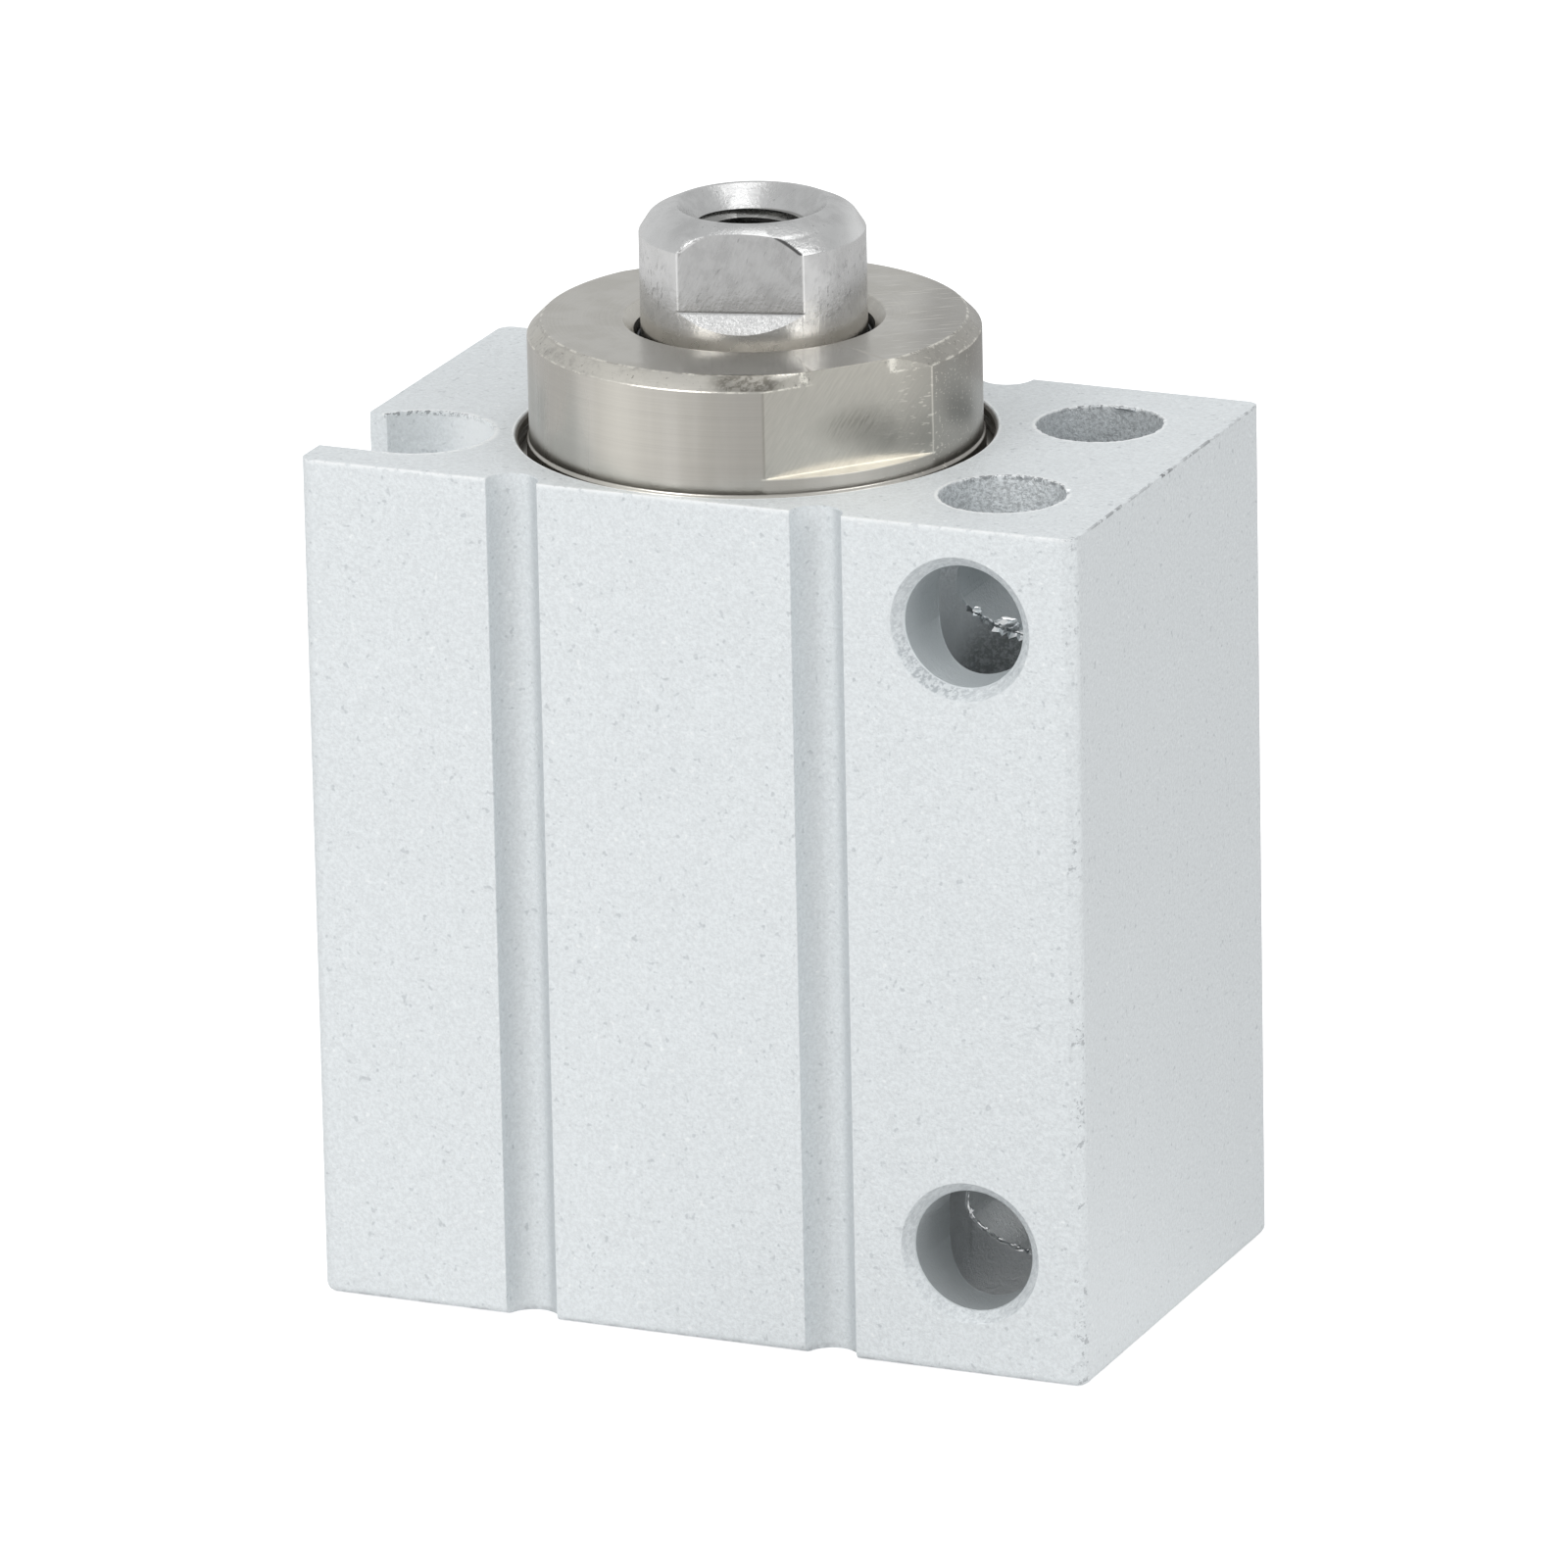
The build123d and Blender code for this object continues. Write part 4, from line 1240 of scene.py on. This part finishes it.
@dataclass
class DrillBurrs:
    """Slivers of metal left where the cross holes break through the upright holes."""

    sliver_thickness: float = 0.05
    sliver_width: float = 0.04
    sliver_lift: float = 0.03
    chip_curl: float = 0.4
    chip_thin: float = 0.18
    chip_reach: float = 0.38
    chip_tilt: Triple = (-0.31, 0.0, 0.41)
    high_flakes: Outline = ((214, 0.36), (236, 0.42), (243, 0.72), (250, 0.62), (262, 0.30))
    low_flakes: Outline = ((190, 0.22), (214, 0.20), (244, 0.18))
    seed: int = 41

    def build(self) -> None:
        """Model the burrs and set them in the frame."""
        self.dice = random.Random(self.seed)
        low_z, high_z = BLOCK.cross_z
        pieces = [self.sliver(low_z, 165, 290, 0.10), self.sliver(high_z, 205, 292, 0.24),
                  self.bead(low_z, 172, 288, 0.035), self.bead(high_z, 212, 292, 0.075)]
        for z, flakes in ((high_z, self.high_flakes), (low_z, self.low_flakes)):
            pieces += [self.flake(z, degrees, size) for degrees, size in flakes]
        deselect_all()
        for piece in pieces:
            piece.select_set(True)
        bpy.context.view_layer.objects.active = pieces[0]
        bpy.ops.object.join()
        burrs = bpy.context.object
        burrs.name = burrs.data.name = "drill_burrs"
        finish_piece(burrs, Body.CYLINDER, BURR_METAL, (), 20.0)

    @staticmethod
    def crossing(z: float, degrees: float) -> Vector:
        """Place on the far edge where a cross hole meets the front upright hole.

        Args:
            z: height of the cross hole's axis, millimetres.
            degrees: angle round the cross hole's axis.

        Returns:
            The place, in millimetres.
        """
        angle = math.radians(degrees)
        x = BLOCK.cross_x + BLOCK.cross_r * math.cos(angle)
        reach = max(BLOCK.hole_r ** 2 - (x - BLOCK.hole_x) ** 2, 0.0)
        return Vector((x, math.sqrt(reach) - BLOCK.hole_y, z + BLOCK.cross_r * math.sin(angle)))

    def crossings(self, z: float, first: float, last: float) -> list[Vector]:
        """Places along a crossing from one angle to another."""
        count = int(abs(last - first) / BURR_STEP_DEG)
        return [self.crossing(z, first + (last - first) * step / count)
                for step in range(count + 1)]

    @staticmethod
    def inwards(z: float, place: Vector) -> Vector:
        """Direction from a place on the crossing to the cross hole's axis."""
        return Vector((BLOCK.cross_x - place.x, 0, z - place.z)).normalized()

    def sliver(self, z: float, first: float, last: float, height: float) -> Piece:
        """Ragged lip of metal along part of a crossing.

        Args:
            z: height of the cross hole's axis, millimetres.
            first: angle where the lip starts, degrees.
            last: angle where it ends.
            height: how far it hangs into the upright hole, millimetres.

        Returns:
            The lip, a closed strip.
        """
        places = self.crossings(z, first, last)
        strip = drawn_line("burr_sliver", [
            place + self.inwards(z, place) * self.sliver_lift for place in places])
        bpy.ops.mesh.select_all(action="SELECT")
        bpy.ops.mesh.extrude_edges_move(
            TRANSFORM_OT_translate={"value": (0, -self.sliver_width, 0)})
        take(strip)
        for point in list(strip.data.vertices)[len(places):]:
            to_axis = Vector((BLOCK.hole_x - point.co.x, -BLOCK.hole_y - point.co.y, 0))
            point.co += to_axis.normalized() * self.dice.uniform(0.04, 0.12)
            point.co -= self.inwards(z, point.co) * height * self.dice.uniform(0.2, 1.2)
        modify(strip, "SOLIDIFY", thickness=self.sliver_thickness, offset=0)
        return strip

    def bead(self, z: float, first: float, last: float, radius: float) -> Piece:
        """Rounded, uneven ridge along part of a crossing.

        Args:
            z: height of the cross hole's axis, millimetres.
            first: angle where the ridge starts, degrees.
            last: angle where it ends.
            radius: about half its thickness, millimetres.

        Returns:
            The ridge, a closed tube.
        """
        take(drawn_line("burr_bead", [
            place + self.inwards(z, place) * self.dice.uniform(0.02, 0.07)
            for place in self.crossings(z, first, last)]))
        bpy.ops.object.convert(target="CURVE")
        ridge = bpy.context.object
        ridge.data.bevel_depth = radius
        ridge.data.bevel_resolution = 2
        ridge.data.use_fill_caps = True
        for point in ridge.data.splines[0].points:
            point.radius = self.dice.uniform(0.45, 1.5)
        bpy.ops.object.convert(target="MESH")
        merge_points(bpy.context.object, SEAM_GAP)
        return bpy.context.object

    def flake(self, z: float, degrees: float, size: float) -> Piece:
        """Curled chip that still hangs on the crossing.

        Args:
            z: height of the cross hole's axis, millimetres.
            degrees: angle round the cross hole's axis.
            size: length of the chip, millimetres.

        Returns:
            The chip.
        """
        deselect_all()
        bpy.ops.mesh.primitive_ico_sphere_add(subdivisions=2, radius=0.5)
        chip = bpy.context.object
        chip.name = "burr_chip"
        for point in chip.data.vertices:
            point.co *= self.dice.uniform(0.75, 1.2)
            point.co.y += self.chip_curl * point.co.x ** 2
        place = self.crossing(z, degrees)
        chip.scale = (size, size * self.chip_thin, size * self.dice.uniform(0.5, 0.7))
        chip.rotation_euler = [angle + self.dice.uniform(-0.22, 0.22) for angle in self.chip_tilt]
        chip.location = place + self.inwards(z, place) * size * self.chip_reach
        bpy.ops.object.transform_apply(location=True, rotation=True, scale=True)
        return chip


@dataclass(frozen=True)
class RodEnd:
    """Piston rod with its domed nose, wrench flats and female thread."""

    spigot_r: float = 3.0
    spigot_z: float = 7.85
    shoulder_z: float = 13.05
    low_hole_r: float = 2.03
    low_hole_z: float = 13.65
    nose_flat_r: float = 2.65
    drill_r: float = 1.65
    drill_low_z: float = 30.25
    sink_depth: float = 1.0
    nose_rim: float = 0.16
    thread_r: float = 2.0
    thread_pitch: float = 0.5
    thread_low_z: float = 31.2
    thread_top: float = 0.66
    flat_ramp: float = 0.6
    edge_break: float = 0.06

    def build(self) -> None:
        """Model the rod and set it in the frame."""
        piece = self.blank()
        for angle in (ROD.flat_angle, ROD.flat_angle + 180):
            cut(piece, lay(self.flat_cutter(), (0, 0, 0), Turn.UP, angle))
        cut(piece, screw_cutter("rod_tap", self.drill_r, self.thread_r, self.thread_pitch,
                                self.thread_low_z, ROD.top_z - self.thread_top))
        soften_edges(piece, self.is_flat_edge, self.edge_break, 2)
        finish_piece(piece, Body.ROD, STAINLESS, ["piston_rod"], 28.0)

    def blank(self) -> Piece:
        """Turned rod with its spigot, nose, countersink and drilled holes."""
        return turned("rod_shaft", [
            (0, self.low_hole_z + self.low_hole_r / 2), (self.low_hole_r, self.low_hole_z),
            (self.low_hole_r, self.spigot_z), (self.spigot_r, self.spigot_z, 0.1),
            (self.spigot_r, self.shoulder_z), (ROD.radius, self.shoulder_z, 0.1),
            (ROD.radius, ROD.nose_z, 0.05), (ROD.nose_r, ROD.nose_top_z, 0.14),
            (self.nose_flat_r + self.nose_rim, ROD.top_z, 0.12),
            (self.nose_flat_r, ROD.top_z - 0.02, 0.03),
            (self.drill_r, ROD.top_z - self.sink_depth), (self.drill_r, self.drill_low_z),
            (0, self.drill_low_z - self.drill_r / 2)], TURNED_STEPS)

    def flat_cutter(self) -> Piece:
        """Cutter for one wrench flat, with the ramp of the mill below it."""
        out = ROD.radius + PAST
        piece = block("flat_mill", (-out, -out, ROD.flat_low_z),
                      (out, -ROD.flat_r, ROD.top_z + PAST))
        drop = self.flat_ramp * (out - ROD.flat_r) / (ROD.radius - ROD.flat_r)
        pick(piece, "VERT", lambda point: point.co.y < -out + 0.1
             and point.co.z < ROD.flat_low_z + 0.1)
        bpy.ops.transform.translate(value=(0, 0, -drop))
        deselect_all()
        return piece

    @staticmethod
    def is_flat_edge(edge: Edge) -> bool:
        """Whether an edge bounds one of the wrench flats."""
        out = flat_normal(ROD.flat_angle)
        on_flat = [abs(abs(face.normal.dot(out)) - 1) < FACING for face in edge.link_faces]
        middle = (edge.verts[0].co + edge.verts[1].co) / 2
        return sorted(on_flat) == [False, True] and abs(middle.dot(out)) > ROD.flat_r - NEAR


@dataclass(frozen=True)
class RodCover:
    """Nickel-plated screwed cover with its collar, wrench flats, recess and wiper."""

    thread_r: float = 8.4
    mouth_r: float = 4.65
    throat_r: float = 4.25
    throat_z: float = 34.75
    recess_z: float = 34.25
    wiper_seat_r: float = 5.8
    wiper_low_z: float = 32.59
    web_r: float = 4.325
    bush_r: float = 5.0
    bush_top_z: float = 31.94
    seal_seat_r: float = 6.2
    seal_top_z: float = 27.26
    low_z: float = 23.9
    land_z: float = 25.0
    seat_z: float = 27.0
    thread_z: Pair = (27.4, 30.2)
    land_r: float = 7.99
    neck_r: float = 7.2
    undercut_r: float = 8.04
    groove_r: float = 6.94
    groove_z: Pair = (25.4, 26.6)
    foot_r: float = 8.09
    foot_z: float = 30.84
    foot_step: float = 0.09
    edge_break: float = 0.03
    edge_deg: float = 12.0
    wiper_outline: Outline = (
        (4.375, 32.62), (5.77, 32.62, 0.1), (5.77, 34.22, 0.05), (4.22, 34.22),
        (4.135, 34.47, 0.02), (4.05, 34.47, 0.02), (4.267, 33.42, 0.2))

    def build(self) -> None:
        """Model the cover and its wiper and set them in the frame."""
        piece = self.blank()
        out = COVER.collar_r + PAST
        for angle in (COVER.flat_angle, COVER.flat_angle + 180):
            mill = block("cover_mill", (-out, -out, COVER.flat_low_z),
                         (out, -COVER.flat_r, COVER.top_z + PAST))
            cut(piece, lay(mill, (0, 0, 0), Turn.UP, angle))
        soften_edges(piece, self.is_flat_edge, self.edge_break, 2)
        finish_piece(piece, Body.CYLINDER, NICKEL, ["rod_cover"], 28.0)
        self.wiper()

    def blank(self) -> Piece:
        """Turned cover with its seats inside and its thread, groove and neck outside."""
        low, high = self.groove_z
        thread_low, thread_high = self.thread_z
        collar_r, top_z = COVER.collar_r, COVER.top_z
        return turned("rod_cover_turned", [
            (self.bush_r, self.seal_top_z), (self.seal_seat_r, self.seal_top_z),
            (self.seal_seat_r, self.low_z), (self.neck_r, self.low_z, 0.1),
            (self.neck_r, self.land_z), (self.land_r, self.land_z, 0.08), (self.land_r, low),
            (self.groove_r, low), (self.groove_r, high), (self.land_r, high),
            (self.land_r, self.seat_z), (self.undercut_r, self.seat_z),
            (self.undercut_r, thread_low), (self.thread_r, thread_low),
            (self.thread_r, thread_high), (self.foot_r, thread_high),
            (self.foot_r, self.foot_z, 0.04), (collar_r, self.foot_z + self.foot_step, 0.04),
            (collar_r, top_z - COVER.chamfer, 0.05), (collar_r - COVER.chamfer, top_z, 0.05),
            (self.mouth_r, top_z, 0.04), (self.throat_r, self.throat_z),
            (self.throat_r, self.recess_z), (self.wiper_seat_r, self.recess_z),
            (self.wiper_seat_r, self.wiper_low_z), (self.web_r, self.wiper_low_z),
            (self.web_r, self.bush_top_z), (self.bush_r, self.bush_top_z)], BORE_STEPS)

    def is_flat_edge(self, edge: Edge) -> bool:
        """Whether an edge bounds a wrench flat or its ledge."""
        out = flat_normal(COVER.flat_angle)
        middle = (edge.verts[0].co + edge.verts[1].co) / 2
        low, high = COVER.flat_low_z, COVER.top_z
        inside = low - NEAR < middle.z < high + NEAR and (
            abs(middle.dot(out)) > COVER.flat_r - NEAR)
        turns = len(edge.link_faces) == 2 and edge.calc_face_angle(0) > math.radians(self.edge_deg)
        on_flat = any(abs(abs(face.normal.dot(out)) - 1) < FACING or (
            abs(face.normal.z) > 0.99 and abs(face.calc_center_median().z - low) < NEAR)
            for face in edge.link_faces)
        return inside and turns and on_flat

    def wiper(self) -> None:
        """Scraper with its lip on the rod, in the recess."""
        piece = turned("rod_wiper_lip", self.wiper_outline)
        finish_piece(piece, Body.CYLINDER, URETHANE, ["rod_wiper"])


@dataclass(frozen=True)
class RearClosure:
    """Head plate and snap ring that close the rear of the bore."""

    plate_z: Pair = (1.5, 4.6)
    land_r: float = 7.99
    groove_r: float = 6.94
    groove_z: Pair = (1.9, 3.1)
    shoulder_z: float = 3.5
    neck_r: float = 7.2
    ring_z: Pair = (0.7, 1.5)
    ring_r: float = 8.37
    ring_inner_r: float = 7.37
    gap: float = 3.2
    lug_r: float = 1.3
    lug_hole_r: float = 0.65
    trim_width: float = 3.0

    def build(self) -> None:
        """Model the plate and its ring and set them in the frame."""
        low, high = self.groove_z
        plate_low, plate_high = self.plate_z
        plate = turned("head_plate_turned", [
            (0, plate_low), (0.35, plate_low), (0.7, plate_low), (self.land_r, plate_low, 0.12),
            (self.land_r, low), (self.groove_r, low), (self.groove_r, high), (self.land_r, high),
            (self.land_r, self.shoulder_z, 0.08), (self.neck_r, self.shoulder_z),
            (self.neck_r, plate_high, 0.1), (0, plate_high)], TURNED_STEPS)
        finish_piece(plate, Body.CYLINDER, PLATE_ALUMINIUM, ["head_plate"])
        self.ring()

    def ring(self) -> None:
        """Internal snap ring, stamped, with two drilled lugs."""
        low, high = self.ring_z
        ring = self.washer("snap_ring", self.ring_inner_r, self.ring_r, self.ring_z)
        cut(ring, block("ring_gap", (-self.gap / 2, -self.ring_r - PAST, low - PAST),
                        (self.gap / 2, -self.ring_inner_r + 2 * self.lug_r, high + PAST)))
        lug_from_axis = self.ring_inner_r - self.lug_r / 2
        lug_y = -math.sqrt(lug_from_axis ** 2 - (self.gap / 2) ** 2)
        for side in (-1, 1):
            place = (side * (self.gap / 2 + self.lug_r / 3), lug_y, 0)
            lug = lay(drum("ring_lug", self.lug_r, low, high, LUG_STEPS), place)
            cut(lug, self.washer("lug_trim", self.ring_r, self.ring_r + self.trim_width,
                                 (low - PAST, high + PAST)))
            combine(ring, lug, "UNION")
            cut(ring, lay(drum("lug_drill", self.lug_hole_r, low - PAST, high + PAST,
                               LUG_HOLE_STEPS), place))
        finish_piece(ring, Body.CYLINDER, SPRING_STEEL, ["retaining_ring"])

    @staticmethod
    def washer(name: str, inner_r: float, outer_r: float, heights: Pair) -> Piece:
        """Flat ring on the bore axis between two heights."""
        low, high = heights
        return turned(name, [(inner_r, low), (outer_r, low), (outer_r, high),
                             (inner_r, high)], TURNED_STEPS)


class HiddenParts:
    """CAD nodes that keep their own solids, with the finish of each."""

    finishes: dict[str, Finish] = {
        "rod_bush": BRONZE, "rod_seal": BLACK_RUBBER, "seal_retainer": ZINC_STEEL,
        "cover_o_ring": BLACK_RUBBER, "front_bumper": URETHANE, "rear_bumper": URETHANE,
        "head_o_ring": BLACK_RUBBER, "piston_seal": BLACK_RUBBER,
        "wear_ring": BEARING_PLASTIC, "piston": PLATE_ALUMINIUM,
        "magnet_holder": PLATE_ALUMINIUM, "piston_magnet": MAGNET_PLASTIC,
        "rod_o_ring": BLACK_RUBBER, "piston_screw": ZINC_STEEL}

    def dress(self) -> None:
        """Give every carried-over node its material."""
        for node, finish in self.finishes.items():
            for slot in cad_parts[node].material_slots:
                slot.material = finish.material()
            LOG.info("%s: finished as %s", node, finish.name)


@dataclass(frozen=True)
class Studio:
    """White studio: camera, soft lamps, floor and white surroundings."""

    lens_mm: float = 352.81
    sensor_mm: float = 36.0
    camera_mm: Triple = (206.4411, -475.0429, 185.9542)
    right: Triple = (0.91996476, 0.39153772, -0.01905389)
    up: Triple = (-0.10425923, 0.2912468, 0.95094969)
    back: Triple = (0.37788206, -0.87285366, 0.30875821)
    centre_mm: Triple = (1.0, 0.0, 18.0)
    clip: Pair = (0.05, 20.0)
    lamps: tuple[tuple[str, Triple, float, float], ...] = (
        ("key_softbox", (-180, -420, 330), 260, 0.98),
        ("top_softbox", (60, 40, 520), 300, 0.34),
        ("side_softbox", (460, -120, 260), 240, 0.45))
    sky: float = 0.70
    room: float = 0.68
    sky_tint: Colour = (0.985, 0.995, 1.0)
    paper: Colour = (0.80, 0.80, 0.80)
    paper_glow: float = 0.6
    floor_r: float = 4.0
    floor_z: float = -0.00002
    panels: Outline = (
        (-180, 0.74), (-155, 0.84), (-126, 1.05), (-100, 0.86), (-70, 0.56), (-46, 0.70),
        (-8, 1.05), (20, 0.80), (50, 0.50), (80, 0.44), (120, 0.62), (150, 0.74), (180, 0.74))

    def build(self) -> None:
        """Set up the camera, the lamps, the floor and the surroundings."""
        self.camera()
        for lamp in self.lamps:
            self.lamp(*lamp)
        self.floor()
        self.surroundings()

    def camera(self) -> None:
        """Camera at the photograph's place and angle."""
        data = bpy.data.cameras.new("photo_camera")
        data.lens, data.sensor_width, data.sensor_fit = self.lens_mm, self.sensor_mm, "HORIZONTAL"
        data.clip_start, data.clip_end = self.clip
        camera = bpy.data.objects.new("photo_camera", data)
        bpy.context.scene.collection.objects.link(camera)
        axes = Matrix((self.right, self.up, self.back)).transposed()
        camera.matrix_world = Matrix.Translation(
            Vector(self.camera_mm) * MM) @ axes.to_4x4()
        bpy.context.scene.camera = camera

    def lamp(self, name: str, place_mm: Place, size_mm: float, watts: float) -> None:
        """Add a square soft lamp that faces the object.

        Args:
            name: the lamp's name.
            place_mm: where it hangs.
            size_mm: its side.
            watts: its power.
        """
        data = bpy.data.lights.new(name, "AREA")
        data.size, data.energy = size_mm * MM, watts
        lamp = bpy.data.objects.new(name, data)
        bpy.context.scene.collection.objects.link(lamp)
        lamp.location = Vector(place_mm) * MM
        aim = (Vector(self.centre_mm) - Vector(place_mm)).normalized()
        lamp.rotation_euler = aim.to_track_quat("-Z", "Y").to_euler()

    def floor(self) -> None:
        """White floor that keeps a faint shadow, with soft panels of light in reflections."""
        deselect_all()
        bpy.ops.mesh.primitive_circle_add(vertices=96, radius=self.floor_r, fill_type="NGON")
        floor = bpy.context.object
        floor.name = "studio_floor"
        floor.location.z = self.floor_z
        recipe = Recipe().start("floor_paper")
        recipe.nodes.remove(recipe.shader)
        path = recipe.node("LightPath").outputs
        seen = recipe.most(path["Is Camera Ray"], path["Is Transmission Ray"])
        paper, glow, panels = (recipe.node(kind) for kind in (
            "BsdfDiffuse", "Emission", "Emission"))
        recipe.feed(paper.inputs["Color"], self.paper)
        recipe.feed(glow.inputs["Strength"], recipe.times(seen, self.paper_glow))
        recipe.feed(panels.inputs["Strength"], self.panel_levels(recipe))
        lit = recipe.node("AddShader", paper.outputs[0], glow.outputs[0])
        both = recipe.node("MixShader", path["Is Glossy Ray"], lit.outputs[0], panels.outputs[0])
        recipe.feed(recipe.nodes["Material Output"].inputs["Surface"], both.outputs[0])
        floor.data.materials.append(recipe.made)

    def panel_levels(self, recipe: Recipe) -> object:
        """Brightness of the floor and its panels round the object, by direction.

        Args:
            recipe: the floor's material.

        Returns:
            A socket with the level, where 1 is white.
        """
        angle = recipe.math("ARCTAN2", recipe.y, recipe.x)
        share = recipe.plus(recipe.math("DIVIDE", angle, math.tau), 0.5)
        ramp = recipe.node("ValToRGB", share)
        ramp.color_ramp.interpolation = "B_SPLINE"
        stops = ramp.color_ramp.elements
        while len(stops) < len(self.panels):
            stops.new(0.5)
        for stop, (degrees, level) in zip(stops, self.panels):
            stop.position = degrees / 360 + 0.5
            stop.color = (level, level, level, 1)
        return ramp.outputs[0]

    def surroundings(self) -> None:
        """White to the eye, a little softer in reflections and as a source of light."""
        world = bpy.data.worlds.new("white_studio")
        bpy.context.scene.world = world
        world.use_nodes = True
        nodes, links = world.node_tree.nodes, world.node_tree.links
        nodes.clear()
        path = nodes.new("ShaderNodeLightPath")
        level = self.sky
        for ray, seen in (("Is Glossy Ray", self.room), ("Is Camera Ray", 1.0)):
            step = nodes.new("ShaderNodeMapRange")
            links.new(path.outputs[ray], step.inputs["Value"])
            step.inputs["To Max"].default_value = seen
            if isinstance(level, float):
                step.inputs["To Min"].default_value = level
            else:
                links.new(level, step.inputs["To Min"])
            level = step.outputs[0]
        back = nodes.new("ShaderNodeBackground")
        back.inputs["Color"].default_value = (*self.sky_tint, 1)
        links.new(level, back.inputs["Strength"])
        output = nodes.new("ShaderNodeOutputWorld")
        links.new(back.outputs[0], output.inputs["Surface"])


def set_view() -> None:
    """Use the plain view transform."""
    bpy.context.scene.view_settings.view_transform = "Standard"


def main() -> None:
    """Build the studio and every sub-assembly in order."""
    logging.basicConfig(level=logging.INFO, format="%(name)s: %(message)s")
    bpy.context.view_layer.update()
    set_view()
    Studio().build()
    BodyBlock().build()
    DrillBurrs().build()
    RodCover().build()
    RodEnd().build()
    RearClosure().build()
    HiddenParts().dress()


if __name__ == "__main__":
    main()
